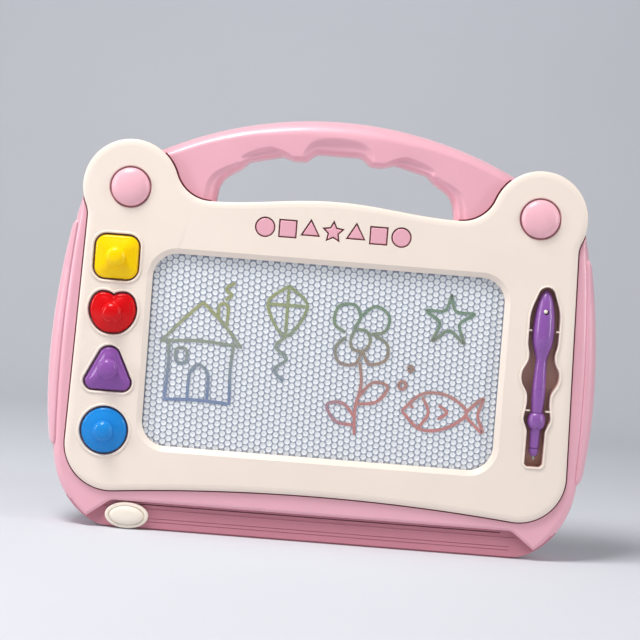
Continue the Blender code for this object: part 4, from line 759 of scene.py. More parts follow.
def body_outline():
    """Outer edge of the two shells, with the width of the front shoulder at each point."""
    right = [(0.0, 0.0)]
    shoulder = [LOWER_SHOULDER]
    corner = (BODY_HALF_WIDTH - CORNER_WIDTH, CORNER_HEIGHT)
    for k, place in enumerate(arc(corner, CORNER_WIDTH, CORNER_HEIGHT, -math.pi / 2, 0.0, CORNER_STEPS)):
        right.append(place)
        share = min(1.0, 2 * k / CORNER_STEPS)
        shoulder.append(LOWER_SHOULDER + (SHOULDER_WIDTH - LOWER_SHOULDER) * share)
    for k in range(1, FLANK_STEPS + 1):
        right.append((flank_x(k / FLANK_STEPS), flank_z(k / FLANK_STEPS)))
        shoulder.append(SHOULDER_WIDTH)
    ear = EAR_RADIUS - SHELL_TUCK
    meet, top = top_edge(SHELL_TUCK)
    head = arc((EAR_X, EAR_Z), ear, ear, EAR_START_ANGLE, meet, EAR_STEPS) + top
    right += head
    shoulder += [0.0] * len(head)
    return right + mirrored(right[1:-1]), shoulder + shoulder[-2:0:-1]


def flank_x(share):
    """Half-width of the flank, from its lower end at 0 to its upper end at 1."""
    return BODY_HALF_WIDTH - FLANK_LEAN * share + FLANK_BULGE * 4 * share * (1 - share)


def flank_z(share):
    """Height of the flank, from its lower end at 0 to its upper end at 1."""
    return CORNER_HEIGHT + (FLANK_TOP_Z - CORNER_HEIGHT) * share


def window_outline():
    """Edge of the drawing window."""
    return box_outline(-WINDOW_HALF_WIDTH, WINDOW_HALF_WIDTH, WINDOW_BOTTOM_Z, WINDOW_TOP_Z, WINDOW_CORNER)


def panel_outline():
    """Edge of the magnetic panel, which reaches behind the window's lip."""
    return box_outline(-PANEL_HALF_WIDTH, PANEL_HALF_WIDTH, PANEL_BOTTOM_Z, PANEL_TOP_Z, PANEL_CORNER)


def channel_outline():
    """Edge of the eraser's channel, open downwards, with slanting ends."""
    run = CHANNEL_HALF_WIDTH + CHANNEL_END_RUN
    slope = CHANNEL_END_RUN / (CHANNEL_TOP_Z - CHANNEL_END_Z)
    far = run + slope * (CHANNEL_END_Z + OVERRUN)
    return rounded([
        (-far, -OVERRUN, 0.0), (far, -OVERRUN, 0.0), (run, CHANNEL_END_Z, 0.0),
        (CHANNEL_HALF_WIDTH, CHANNEL_TOP_Z, CHANNEL_CORNER),
        (-CHANNEL_HALF_WIDTH, CHANNEL_TOP_Z, CHANNEL_CORNER), (-run, CHANNEL_END_Z, 0.0),
    ])


def stamp_outline(kind):
    """Outline of a stamp round its own centre."""
    half = STAMP_SIZE / 2
    if kind == "circle":
        return circle((0.0, 0.0), half, ROUND_SIDES)
    if kind == "square":
        side = STAMP_SQUARE_SIZE / 2
        return box_outline(-side, side, -side, side, STAMP_SQUARE_CORNER)
    if kind == "triangle":
        return triangle_outline(half)
    return heart_outline(half)


def triangle_outline(half):
    """A triangle with a round tip and feet that just reach the stamp's width and height."""
    low = -STAMP_TRIANGLE_HEIGHT / 2
    tip_z = -low - STAMP_TRIANGLE_TIP
    foot = (half - STAMP_TRIANGLE_FOOT, low + STAMP_TRIANGLE_FOOT)
    rise = tip_z - foot[1]
    tilt = math.atan2(rise, foot[0])
    lead = math.asin((STAMP_TRIANGLE_TIP - STAMP_TRIANGLE_FOOT) / math.hypot(rise, foot[0]))
    side = math.pi / 2 - tilt + lead
    right = arc(foot, STAMP_TRIANGLE_FOOT, STAMP_TRIANGLE_FOOT, -math.pi / 2, side, CORNER_STEPS)
    tip = arc((0.0, tip_z), STAMP_TRIANGLE_TIP, STAMP_TRIANGLE_TIP, side, math.pi - side, CORNER_STEPS)
    return right + tip + mirrored(right)


def heart_outline(half):
    """A heart, smooth all round but for the dip at its top."""
    right = [(half * x, STAMP_HEART_HEIGHT * z) for x, z in HEART_HALF_SHARES]
    return smoothed(right + mirrored(right[1:]) + right[:1], HEART_STEPS)[-2::-1]


def stamp_z(kind):
    """Height of a stamp's centre in the column between the bezel's foot and the ear cap."""
    heights = {"circle": STAMP_SIZE, "triangle": STAMP_TRIANGLE_HEIGHT, "heart": STAMP_HEART_HEIGHT,
               "square": STAMP_SQUARE_SIZE}
    room = EAR_Z - CAP_RADIUS - CAP_GAP - BEZEL_FOOT_Z - sum(heights.values())
    place = BEZEL_FOOT_Z
    for name, share in zip(STAMP_KINDS, STAMP_SPACE_SHARES):
        place += room * share + heights[name] / 2
        if name == kind:
            break
        place += heights[name] / 2
    return place


def pocket_outline(kind):
    """Edge of a stamp's pocket in the bezel and the deck."""
    return inset(shifted(stamp_outline(kind), STAMP_X, stamp_z(kind)), -POCKET_GAP)


def well_outline():
    """Edge of the pen's well, with room for a fingertip on both sides of the waist."""
    top = PEN_BELLY_RADIUS + WELL_BELLY_ROOM
    waist = PEN_NOSE_RADIUS + WELL_WAIST_ROOM
    halves = {"foot": PEN_NOSE_RADIUS + WELL_FOOT_ROOM, "ball": PEN_COLLAR_RADIUS + WELL_BALL_ROOM,
              "waist": waist, "finger": waist + WELL_FINGER_ROOM, "top": top,
              "crown": top - WELL_CROWN_NARROWING}
    right = [(PEN_X + halves[place], WELL_FOOT_Z + WELL_HEIGHT * up, WELL_ROUND * wide)
             for place, up, wide in WELL_SHAPE_SHARES]
    return rounded(right + [(2 * PEN_X - x, z, radius) for x, z, radius in reversed(right)])


def shape_outline(index):
    """Outline of one of the raised shapes, round its own centre."""
    radius = SHAPE_RADIUS
    if index in (0, 6):
        return circle((0.0, 0.0), radius, SMALL_SIDES)
    if index in (1, 5):
        side = radius * math.sqrt(math.pi) / 2
        return box_outline(-side, side, -side, side)
    if index in (2, 4):
        return [(radius * math.sin(turn), -radius * math.cos(turn)) for turn in TRIANGLE_TURNS]
    points = []
    for k in range(2 * STAR_TIPS):
        reach = radius if k % 2 == 0 else radius * STAR_WAIST_SHARE
        angle = math.pi / 2 + math.pi * k / STAR_TIPS
        points.append((reach * math.cos(angle), reach * math.sin(angle)))
    return points


def raised_outlines():
    """Outlines of the raised shapes in their row above the window."""
    height = WINDOW_TOP_Z + TOP_BAND * SHAPE_UP_SHARE
    return [shifted(shape_outline(k), (k - (SHAPE_COUNT - 1) / 2) * SHAPE_PITCH, height)
            for k in range(SHAPE_COUNT)]


# Solids

def new_object(shape, name):
    """An object of the scene from a finished bmesh."""
    mesh = bpy.data.meshes.new(name)
    shape.to_mesh(mesh)
    shape.free()
    made = bpy.data.objects.new(name, mesh)
    bpy.context.scene.collection.objects.link(made)
    return made


def add_rings(shape, rings):
    """Join rings of (x, y, z) points into a closed solid; the first and last get caps."""
    loops = [[shape.verts.new(point) for point in ring] for ring in rings]
    count = len(loops[0])
    for low, high in zip(loops, loops[1:]):
        for k in range(count):
            j = (k + 1) % count
            shape.faces.new((low[k], low[j], high[j], high[k]))
    shape.faces.new(loops[0])
    shape.faces.new(loops[-1])


def solids(*ring_sets):
    """One object with a closed solid for each set of rings."""
    shape = bmesh.new()
    for rings in ring_sets:
        add_rings(shape, rings)
    bmesh.ops.recalc_face_normals(shape, faces=shape.faces)
    return new_object(shape, "form")


def level(outline, depth):
    """An outline's points at a depth."""
    return [(x, world_y(depth), z) for x, z in outline]


def stack(layers):
    """A solid through outlines at given depths, front to back or back to front."""
    return solids([level(outline, depth) for outline, depth in layers])


def prism(outline, front, back):
    """An outline pushed straight through the depth."""
    return stack([(outline, front), (outline, back)])


def peg(place, radius, front, back):
    """A round prism, such as a screw's post or bore."""
    return prism(circle(place, radius, SCREW_SIDES), front, back)


def bar(half, low, high, front, back, centre=0.0):
    """A block with a half-width on both sides of its centre."""
    return prism(box_outline(centre - half, centre + half, low, high), front, back)


def turned(profile, place, axis, sides):
    """A solid of revolution: profile of (radius, distance) pairs along +Z or +Y from a place."""
    rings = []
    for radius, along in profile:
        ring = circle((0.0, 0.0), radius, sides)
        if axis == "Z":
            rings.append([(place[0] + a, place[1] + b, place[2] + along) for a, b in ring])
        else:
            rings.append([(place[0] + a, place[1] + along, place[2] + b) for a, b in ring])
    return solids(rings)


def combine(target, tools, operation):
    """Apply a Boolean step for each tool to the target and remove the tool."""
    for tool in tools:
        step = target.modifiers.new(operation, "BOOLEAN")
        step.operation = operation
        step.solver = "MANIFOLD"
        step.object = tool
        graph = bpy.context.evaluated_depsgraph_get()
        result = bpy.data.meshes.new_from_object(target.evaluated_get(graph))
        target.modifiers.clear()
        old = target.data
        target.data = result
        bpy.data.meshes.remove(old)
        bpy.data.objects.remove(tool, do_unlink=True)
    return target


def cut(target, *tools):
    """Take the tools' volume out of the target."""
    return combine(target, tools, "DIFFERENCE")


def join(target, *tools):
    """Fuse the tools with the target."""
    return combine(target, tools, "UNION")


def keep(target, *tools):
    """Keep only what the target shares with the tools."""
    return combine(target, tools, "INTERSECT")


def edged(outline, width, height, shares):
    """Layers of a moulded edge: the outline moved out by shares of a width, at shares of a height."""
    return [(inset(outline, -width * out), height * up) for out, up in shares]


def bent(outline, width, depth, rise, steps):
    """Layers that bend inwards by a width on the way to a depth, over a quarter turn."""
    return [(inset(outline, width * (1 - cosine)), depth + rise * (1 - sine))
            for sine, cosine in quarter(steps)]


def flared(outline, surface, radius, end, steps):
    """A cutter that leaves a rounded edge where it enters a face."""
    layers = [(inset(outline, -radius), surface - OVERRUN)]
    for sine, cosine in quarter(steps):
        layers.append((inset(outline, -radius * (1 - sine)), surface + radius * (1 - cosine)))
    return stack(layers + [(outline, end)])


# Forms of the board

def handle_line():
    """Right half of the handle: its inner edge and outer edge, from the crown down into the board."""
    half = HAND_HOLE_HALF_WIDTH
    foot_z = BOARD_TOP_Z - WALL - OVERRUN
    corners = [(-half, BOARD_TOP_Z + HAND_HOLE_HEIGHT, 0.0)]
    corners += [(half * across, BOARD_TOP_Z + HAND_HOLE_HEIGHT * up, half * radius)
                for across, up, radius in HAND_HOLE_CORNER_SHARES]
    corners += [(half, BOARD_TOP_Z, 0.0), (half, foot_z, 0.0)]
    inner = [(0.0, BOARD_TOP_Z + HAND_HOLE_HEIGHT)] + rounded(corners)[1:]
    centre = (0.0, BOARD_TOP_Z + HANDLE_RISE - HANDLE_ARC)
    end_x = EAR_X - HANDLE_EAR_LAP
    end_turn = math.pi / 2 - math.asin(end_x / HANDLE_ARC)
    outer = arc(centre, HANDLE_ARC, HANDLE_ARC, math.pi / 2, end_turn, CORNER_STEPS * 2)
    outer.append((end_x, foot_z))
    return zip(resampled(inner, HANDLE_STATIONS), resampled(outer, HANDLE_STATIONS))


def well_width(x):
    """How far the finger wells bite into the handle's front and rear edges."""
    share = abs(x) / HAND_HOLE_HALF_WIDTH
    width = WELL_EDGE
    for centre, half, rise in WELL_PLACE_SHARES:
        off = abs(share - centre) / half
        if off < 1:
            width = WELL_EDGE + WELL_RISE * rise * math.cos(math.pi / 2 * off) ** WELL_EASE_SHARE
    return width


def handle_ring(inner, outer):
    """One section of the handle between its inner and outer edge, stepped back where a finger well lies."""
    start = Vector(outer)
    run = Vector(inner) - start
    length = run.length
    run.normalize()
    reach = HANDLE_DEPTH / 2
    width = well_width(inner[0])
    scoop = (width - WELL_EDGE) / WELL_RISE
    lip = 1 - WELL_LIP / width
    half = [(HANDLE_ROUND * (1 - cosine), reach * sine) for sine, cosine in quarter(EDGE_STEPS)]
    for share, cosine in quarter(WELL_STEPS)[:-1]:
        step = min(1.0, share / WELL_STEP_SHARE)
        drop = WELL_DROP * scoop * step ** 2 * (3 - 2 * step)
        past = max(0.0, (share - lip) / (1 - lip))
        half.append((length - width * (1 - share), (reach - drop) * math.sqrt(1 - past ** 2)))
    section = half + [(length, 0.0)] + [(along, -off) for along, off in reversed(half[1:])]
    places = [(start + run * along, off) for along, off in section]
    return [(place.x, world_y(PARTING_DEPTH) - off, place.y) for place, off in places]


def handle_form():
    """The whole handle, both halves, with finger wells along its lower edge."""
    right = [handle_ring(inner, outer) for inner, outer in handle_line()]
    left = [[(-x, y, z) for x, y, z in ring] for ring in reversed(right[1:])]
    return solids(left + right)


def grip_form(side):
    """A pad on one flank: a soft ridge in front, then a long curve out to its crown and back."""
    low = CORNER_HEIGHT - GRIP_END_GAP
    high = FLANK_TOP_Z - GRIP_END_GAP
    deep = PARTING_DEPTH - GRIP_RIDGE_DEPTH
    rings = []
    for k in range(GRIP_STATIONS):
        share = (1 - math.cos(math.pi * k / (GRIP_STATIONS - 1))) / 2
        z = low + (high - low) * share
        room = min(1.0, min(share, 1 - share) * (high - low) / GRIP_END_ROUND)
        ease = math.sqrt(1 - (1 - room) ** 2)
        edge = flank_x(share)
        along = share ** GRIP_LEAN
        full = edge + GRIP_END_RISE + GRIP_CROWN_RISE * 4 * along * (1 - along)
        crown = edge - GRIP_SINK + (full - edge + GRIP_SINK) * ease
        front = GRIP_RIDGE_DEPTH + GRIP_SINK * (1 - ease)
        half = [(edge - SHOULDER_WIDTH, front + deep * GRIP_ROOT_SHARE)]
        half += [(edge - GRIP_RIDGE_WIDTH * back, front + GRIP_RIDGE_RISE * up)
                 for back, up in GRIP_RIDGE_SHARES]
        half += [(edge + (crown - edge) * out, front + deep * back) for out, back in GRIP_CURVE_SHARES]
        section = half + [(x, 2 * PARTING_DEPTH - depth) for x, depth in reversed(half[:-1])]
        rings.append([(side * x, world_y(depth), z) for x, depth in section])
    return solids(rings)


def body_form(front, back):
    """Board, grip pads and handle in one, kept between two depths."""
    outline, shoulder = body_outline()
    layers = []
    for sine, cosine in quarter(EDGE_STEPS):
        ring = inset(outline, [width * (1 - sine) for width in shoulder])
        layers.append((ring, DECK_FRONT + SHOULDER_DEPTH * (1 - cosine)))
    layers += bent(outline, REAR_ROUND, BOARD_DEPTH, -REAR_ROUND, EDGE_STEPS)
    form = join(stack(layers), grip_form(-1), grip_form(1), handle_form())
    high = BOARD_TOP_Z + HANDLE_RISE + OVERRUN
    return keep(form, bar(BODY_HALF_WIDTH + GRIP_CROWN + OVERRUN, -OVERRUN, high, front, back))


def front_cavity():
    """The hollow of the front shell, which leaves the channel's wall standing."""
    outline, shoulder = body_outline()
    inner = inset(outline, WALL)
    narrow = inset(outline, [width + WALL for width in shoulder])
    hollow = stack([(inner, PARTING_DEPTH + OVERRUN), (inner, DECK_FRONT + SHOULDER_DEPTH),
                    (narrow, DECK_BACK)])
    return cut(hollow, prism(inset(channel_outline(), -WALL), -OVERRUN, CHANNEL_WALL_BACK))


def rear_cavity():
    """The hollow of the rear shell."""
    outline = body_outline()[0]
    inner = inset(outline, WALL)
    return stack([(inner, PARTING_DEPTH - OVERRUN), (inner, BOARD_DEPTH - REAR_ROUND),
                  (inset(outline, WALL + REAR_ROUND), REAR_WALL_FRONT)])


def screw_places():
    """Name, (x, z) place and seat depth of each screw."""
    rows = [("ear", BODY_HALF_WIDTH - SCREW_EAR_INSET, EAR_Z - SCREW_EAR_DROP, SCREW_SEAT_DEPTH),
            ("top", SCREW_TOP_X, BOARD_TOP_Z - SCREW_TOP_DROP, SCREW_SEAT_DEPTH),
            ("foot", BODY_HALF_WIDTH - SCREW_LOW_INSET, SCREW_LOW_Z, SCREW_SEAT_DEPTH),
            ("handle", SCREW_HANDLE_X, BOARD_TOP_Z + SCREW_HANDLE_RISE, HANDLE_SCREW_SEAT_DEPTH)]
    return [(f"screw_{spot}_{word}", (side * x, z), seat)
            for side, word in SIDES for spot, x, z, seat in rows]


def board_screws():
    """Places of the screws that go through both shells into the bezel's posts."""
    return [place for name, place, seat in screw_places() if "handle" not in name]


def pen_nubs():
    """Small catches on the bezel that reach over the pen from both sides of its well."""
    nubs = []
    for radius, room, share in ((PEN_BELLY_RADIUS, WELL_BELLY_ROOM, NUB_UP_SHARE),
                                (PEN_NOSE_RADIUS, WELL_WAIST_ROOM, NUB_LOW_SHARE)):
        z = WELL_FOOT_Z + WELL_HEIGHT * share
        for side in (-1, 1):
            inner = PEN_X + side * max(radius + NUB_GAP, radius + room - NUB_REACH)
            ends = sorted((inner, PEN_X + side * (radius + room + BOND)))
            outline = box_outline(*ends, z - NUB_HALF_HEIGHT, z + NUB_HALF_HEIGHT)
            nubs.append(prism(outline, BEZEL_EDGE / 4, BEZEL_THICKNESS * 3 / 4))
    return nubs


def panel_rails():
    """Rails above and below the window that carry the magnetic panel from behind."""
    rails = []
    for edge_z, way in ((PANEL_BOTTOM_Z, -1), (PANEL_TOP_Z, 1)):
        ends = sorted((edge_z - way * RAIL_LAP, edge_z + way * (PANEL_GAP + RAIL_WALL)))
        rails.append(bar(PANEL_HALF_WIDTH + PANEL_GAP, *ends, DECK_BACK - BOND, RAIL_BACK))
    return rails


def pen_cradle():
    """A saddle in the well's floor that carries the pen under its ball collar."""
    z = PEN_COLLAR_FOOT_Z + PEN_COLLAR_LENGTH / 2
    reach = PEN_AXIS_DEPTH + PEN_COLLAR_RADIUS + SEAT_GAP
    return bar(PEN_NOSE_RADIUS, z - TRAY_WALL, z + TRAY_WALL, reach, PEN_WELL_FLOOR + BOND, PEN_X)


def shadow_line(floor):
    """Groove that runs round the bezel's edge, down to a floor at the given depth."""
    outline = bezel_outline()
    groove = prism(inset(outline, -SHADOW_LINE_OUT), DECK_FRONT - OVERRUN, floor)
    return cut(groove, prism(inset(outline, SHADOW_LINE_IN), DECK_FRONT - 2 * OVERRUN, floor + OVERRUN))


def foot_line():
    """The deeper stretches of that groove, across both feet of the handle."""
    feet = bar(EAR_X, BOARD_TOP_Z - WALL * 2, EAR_Z * 2, -OVERRUN, BOARD_DEPTH)
    gap = bar(HAND_HOLE_HALF_WIDTH, 0.0, EAR_Z * 2, -2 * OVERRUN, BOARD_DEPTH + OVERRUN)
    return cut(keep(shadow_line(HANDLE_SEAM), feet), gap)


def channel_tools():
    """Cutters of the eraser's channel: brow, band, slot for the stem, gap at the foot and fine lines."""
    wide = CHANNEL_HALF_WIDTH * 2
    outline = channel_outline()
    band = prism(outline, CHANNEL_DEPTH - OVERRUN, CHANNEL_DEPTH + BAND_DEPTH)
    cut(band, bar(wide, -wide, BAND_LOW_Z, -OVERRUN, BOARD_DEPTH))
    reach = ERASER_TRAVEL / 2 + KNOB_STEM_WIDTH / 2 + SLIDE_GAP
    slot = bar(reach, STEM_LOW_Z - STEM_GAP, STEM_HIGH_Z + STEM_GAP, CHANNEL_DEPTH - OVERRUN,
               CHANNEL_WALL_BACK + OVERRUN / 2)
    tools = [flared(outline, DECK_FRONT, CHANNEL_BROW, CHANNEL_DEPTH, EDGE_STEPS), band, slot,
             bar(wide, -OVERRUN, FOOT_GAP_HEIGHT, -OVERRUN, CHANNEL_DEPTH + FOOT_GAP_DEPTH)]
    return tools + [bar(CHANNEL_HALF_WIDTH, low, low + LINE_HEIGHT, CHANNEL_DEPTH - OVERRUN,
                        CHANNEL_DEPTH + GROOVE_DEPTH) for low in CHANNEL_LINES]


# Surfaces

def linear(channel):
    """Turn one colour value out of 255 into the linear value that a shader takes."""
    share = channel / 255
    if share <= SRGB_STEP:
        return share / SRGB_SLOPE
    return ((share + SRGB_LIFT) / (1 + SRGB_LIFT)) ** SRGB_POWER


def shade(colour, gain=1.0):
    """A shader's colour from values out of 255, lighter or darker by a gain."""
    return (*[min(1.0, linear(c) * gain) for c in colour], 1.0)


def wire(tree, made, **inputs):
    """Set a node's inputs, each to a value or to another node's output; returns its first output."""
    for name, value in inputs.items():
        socket = made.inputs[name.replace("_", " ")]
        if isinstance(value, bpy.types.NodeSocket):
            tree.links.new(value, socket)
        else:
            socket.default_value = value
    return made.outputs[0]


def add(tree, kind, **inputs):
    """The first output of a new node."""
    return wire(tree, tree.nodes.new("ShaderNode" + kind), **inputs)


def finish(tree, shader, roughness, relief, depth, **inputs):
    """Give a shader its roughness, its relief and whatever else is set."""
    wire(tree, shader, Roughness=roughness, Normal=add(tree, "Bump", Height=relief, Distance=depth), **inputs)


def noise(tree, place, scale, detail):
    """A noise value over the piece, with features of about one over scale metres."""
    return add(tree, "TexNoise", Vector=place, Scale=scale, Detail=detail)


def spread(tree, value, low, high, source_low=0.3, source_high=0.7):
    """A value stretched to another range."""
    return add(tree, "MapRange", Value=value, From_Min=source_low, From_Max=source_high,
               To_Min=low, To_Max=high)


def mixed(tree, share, first, second):
    """A mix of two colours, each a value or the output of another node."""
    made = tree.nodes.new("ShaderNodeMix")
    made.data_type = "RGBA"
    for name, colour in (("A", first), ("B", second)):
        socket = next(s for s in made.inputs if s.name == name and s.type == "RGBA")
        if isinstance(colour, tuple):
            socket.default_value = colour
        else:
            tree.links.new(colour, socket)
    wire(tree, made, Factor=share)
    return next(s for s in made.outputs if s.type == "RGBA")


def ramp(tree, value, stops):
    """Colours along a value."""
    made = tree.nodes.new("ShaderNodeValToRGB")
    ends = made.color_ramp.elements
    while len(ends) < len(stops):
        ends.new(0.5)
    for end, (at, colour) in zip(ends, stops):
        end.position = at
        end.color = shade(colour)
    return wire(tree, made, Fac=value)


def new_material(name):
    """An empty Principled material, its node tree, its shader and its place on the piece."""
    made = bpy.data.materials.new(name)
    made.use_nodes = True
    tree = made.node_tree
    return made, tree, tree.nodes["Principled BSDF"], tree.nodes.new("ShaderNodeTexCoord").outputs["Object"]


def grained(name, colour, tones, gloss, scales, grain, **sockets):
    """A surface whose colour drifts between two tones, with uneven gloss and fine relief."""
    made, tree, shader, place = new_material(name)
    drift, shine, relief = [noise(tree, place, *scale) for scale in scales]
    drift = spread(tree, drift, 0.0, 1.0)
    finish(tree, shader, spread(tree, shine, *gloss), relief, grain,
           Base_Color=mixed(tree, drift, *[shade(colour, tone) for tone in tones]), **sockets)
    return made


def moulded(name, colour, roughness, coat=0.0, grain=MOULDED_GRAIN, specular=0.45, sheen=0.0):
    """Moulded plastic: slight drift of colour, fine grain and uneven gloss."""
    gloss = (roughness - GLOSS_BELOW, roughness + GLOSS_ABOVE)
    return grained(name, colour, MOULDED_TONES, gloss, MOULDED_SCALES, grain, Coat_Weight=coat,
                   Coat_Roughness=COAT_ROUGHNESS, Sheen_Weight=sheen, Sheen_Roughness=SHEEN_ROUGHNESS,
                   Specular_IOR_Level=specular)


def filling(name, colour, *tones):
    """The panel's cell walls and white filling, slightly cloudy."""
    return grained(name, colour, tones, FILLING_GLOSS, FILLING_SCALES, FILLING_GRAIN)


def brushed(name, colour):
    """Plated steel with fine turning marks."""
    made, tree, shader, place = new_material(name)
    marks = noise(tree, add(tree, "Mapping", Vector=place, Scale=BRUSH_STRETCH), *BRUSH_SCALE)
    finish(tree, shader, spread(tree, marks, *BRUSH_GLOSS), marks, BRUSH_DEPTH, Metallic=1.0,
           Base_Color=mixed(tree, marks, *[shade(colour, tone) for tone in BRUSH_TONES]))
    return made


def film(name):
    """Thin clear film that only shines a little."""
    made, tree, shader, place = new_material(name)
    gloss, waves = [noise(tree, place, *scale) for scale in FILM_SCALES]
    finish(tree, shader, spread(tree, gloss, *FILM_GLOSS), waves, FILM_WAVES,
           Base_Color=shade(FILM), Alpha=FILM_ALPHA)
    return made


def powder(name):
    """Coloured powder drawn to the front of the cells, in soft colour zones over the panel."""
    made, tree, shader, place = new_material(name)
    parts = tree.nodes.new("ShaderNodeSeparateXYZ")
    wire(tree, parts, Vector=place)
    across = spread(tree, parts.outputs["X"], 0.0, 1.0, -WINDOW_HALF_WIDTH, WINDOW_HALF_WIDTH)
    up = spread(tree, parts.outputs["Z"], 0.0, 1.0, WINDOW_MID_Z - ZONE_BLEND, WINDOW_MID_Z + ZONE_BLEND)
    zone = mixed(tree, up, ramp(tree, across, POWDER_LOW_STOPS), ramp(tree, across, POWDER_HIGH_STOPS))
    specks, gloss, relief = [noise(tree, place, *scale) for scale in POWDER_SCALES]
    specks = spread(tree, specks, 0.0, POWDER_SPECKS)
    finish(tree, shader, spread(tree, gloss, *POWDER_GLOSS), relief, POWDER_GRAIN,
           Base_Color=mixed(tree, specks, zone, shade(CELL_WHITE)))
    return made


# Pieces

def dress(made, name, body, slot, surface, *nodes):
    """Weld a piece, name it, give it its surface and smooth shading, and let it ride on its body."""
    shape = bmesh.new()
    shape.from_mesh(made.data)
    bmesh.ops.remove_doubles(shape, verts=shape.verts, dist=WELD)
    bmesh.ops.dissolve_degenerate(shape, edges=shape.edges, dist=WELD)
    shape.to_mesh(made.data)
    shape.free()
    made.name = name
    made.data.name = name
    made.data.materials.clear()
    made.data.materials.append(surface)
    made.data.shade_smooth()
    made.data.set_sharp_from_angle(angle=SMOOTH_ANGLE)
    made.modifiers.new("even", "WEIGHTED_NORMAL").keep_sharp = True
    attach(made, body)
    if nodes:
        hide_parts(*nodes)


def make_bezel(surface):
    """Front bezel: plate with a rounded edge, window lip, rimmed pockets and cut-out shapes."""
    outline = bezel_outline()
    window = window_outline()
    through = BEZEL_THICKNESS + OVERRUN
    bezel = stack([(outline, BEZEL_THICKNESS)] + edged(outline, -BORDER_WIDTH, BEZEL_EDGE, BEZEL_EDGE_SHARES))
    join(bezel, prism(inset(window, -LIP_WALL), BEZEL_EDGE, LIP_REACH))
    edges = [(pocket_outline(kind), POCKET_RIM_WIDTH) for kind in STAMP_KINDS]
    edges.append((well_outline(), WELL_RIM_WIDTH))
    for edge, width in edges:
        crest = edged(edge, width, -POCKET_RIM_HEIGHT, RIM_SHARES)
        join(bezel, stack([(inset(edge, -width), BOND)] + crest))
    mouth = (inset(window, -WINDOW_SLOPE * WINDOW_SLOPE_SHARES[0][0]), -OVERRUN)
    slope = edged(window, WINDOW_SLOPE, WINDOW_SLOPE_DEPTH, WINDOW_SLOPE_SHARES)
    cut(bezel, stack([mouth] + slope + [(window, LIP_REACH + OVERRUN)]))
    for edge, width in edges:
        crest = edged(edge, width, -POCKET_RIM_HEIGHT, RIM_INNER_SHARES)
        cut(bezel, stack([(inset(edge, -width * RIM_CREST), -OVERRUN)] + crest + [(edge, through)]))
    for side, word in SIDES:
        hole = circle((side * EAR_X, EAR_Z), CAP_RADIUS + CAP_GAP, ROUND_SIDES)
        cut(bezel, flared(hole, 0.0, CAP_FLARE, through, FLARE_STEPS))
    for outline in raised_outlines():
        cut(bezel, flared(inset(outline, -SHAPE_GAP), 0.0, SHAPE_FLARE, through, FLARE_STEPS))
    join(bezel, *pen_nubs())
    for place in board_screws():
        join(bezel, peg(place, POST_RADIUS, BEZEL_EDGE, POST_REACH))
        cut(bezel, peg(place, SCREW_SHANK + SCREW_GAP, POST_BORE_END, POST_REACH + OVERRUN))
    dress(bezel, "bezel_moulding", "board", "cream_plastic", surface, "front_bezel")


def make_front_shell(surface, *painted_shades):
    """Front shell: deck behind the bezel, trays, panel rails, eraser channel and front half of the handle."""
    shell = cut(body_form(DECK_FRONT - OVERRUN, FRONT_SHELL_BACK), front_cavity())
    pockets = [(pocket_outline(kind), STAMP_FLOOR_DEPTH) for kind in STAMP_KINDS]
    pockets.append((well_outline(), PEN_WELL_FLOOR))
    for edge, floor in pockets:
        join(shell, prism(inset(edge, -TRAY_WALL), DECK_BACK - BOND, floor + TRAY_WALL))
    join(shell, *panel_rails())
    for place in board_screws():
        join(shell, peg(place, BOSS_RADIUS, DECK_BACK - BOND, FRONT_SHELL_BACK))
        cut(shell, peg(place, POST_RADIUS + SEAT_GAP, -OVERRUN, POST_REACH + SEAT_GAP))
    cut(shell, shadow_line(DECK_SEAM), foot_line())
    for outline in raised_outlines():
        step = prism(inset(outline, -SHAPE_GAP * SHAPE_STEP_SHARE), SHAPE_STEP_DEPTH, DECK_FRONT + BOND)
        crest = bent(outline, SHAPE_EDGE, SHAPE_TOP_DEPTH, SHAPE_EDGE, FLARE_STEPS)
        join(shell, step, stack([(outline, DECK_FRONT)] + crest))
    for edge, floor in pockets:
        cut(shell, prism(edge, -OVERRUN, floor))
    join(shell, pen_cradle())
    cut(shell, prism(inset(panel_outline(), -PANEL_GAP), -OVERRUN, RAIL_FRONT), *channel_tools())
    for name, place, seat in screw_places():
        pilot = PARTING_DEPTH - SCREW_BITE - OVERRUN
        cut(shell, peg(place, SCREW_SHANK + SCREW_GAP, pilot, PARTING_DEPTH + OVERRUN))
    dress(shell, "front_shell", "board", "pink_plastic", surface, "body_frame")
    # Extra material slots: painted shade for the channel, the seam floors and the pen's well
    for extra in painted_shades:
        shell.data.materials.append(extra)
    for face in shell.data.polygons:
        x, y, z = face.center
        deep = y - world_y(0.0)
        # Faces in the eraser channel get the darker pink, a painted shade
        in_channel = DECK_FRONT + CHANNEL_BROW / 2 < deep < CHANNEL_WALL_BACK and z < CHANNEL_TOP_Z + WELD
        if in_channel and abs(x) < CHANNEL_HALF_WIDTH + CHANNEL_END_RUN * 2:
            face.material_index = 1
        # Floors of the seam grooves and shape steps get the dark seam colour, a painted shade
        off_floor = min(abs(deep - floor) for floor in (DECK_SEAM, HANDLE_SEAM, SHAPE_STEP_DEPTH))
        if off_floor < FLOOR_REACH and face.normal.y < WELD - 1:
            face.material_index = 2
        # Faces inside the pen's well get the darkened colour, a painted shade
        in_well = abs(x - PEN_X) < PEN_BELLY_RADIUS * 2 and WELL_FOOT_Z - BOND < z < WELL_TOP_Z + BOND
        if in_well and DECK_FRONT + WELD < deep < PEN_WELL_FLOOR + WELD:
            face.material_index = 3


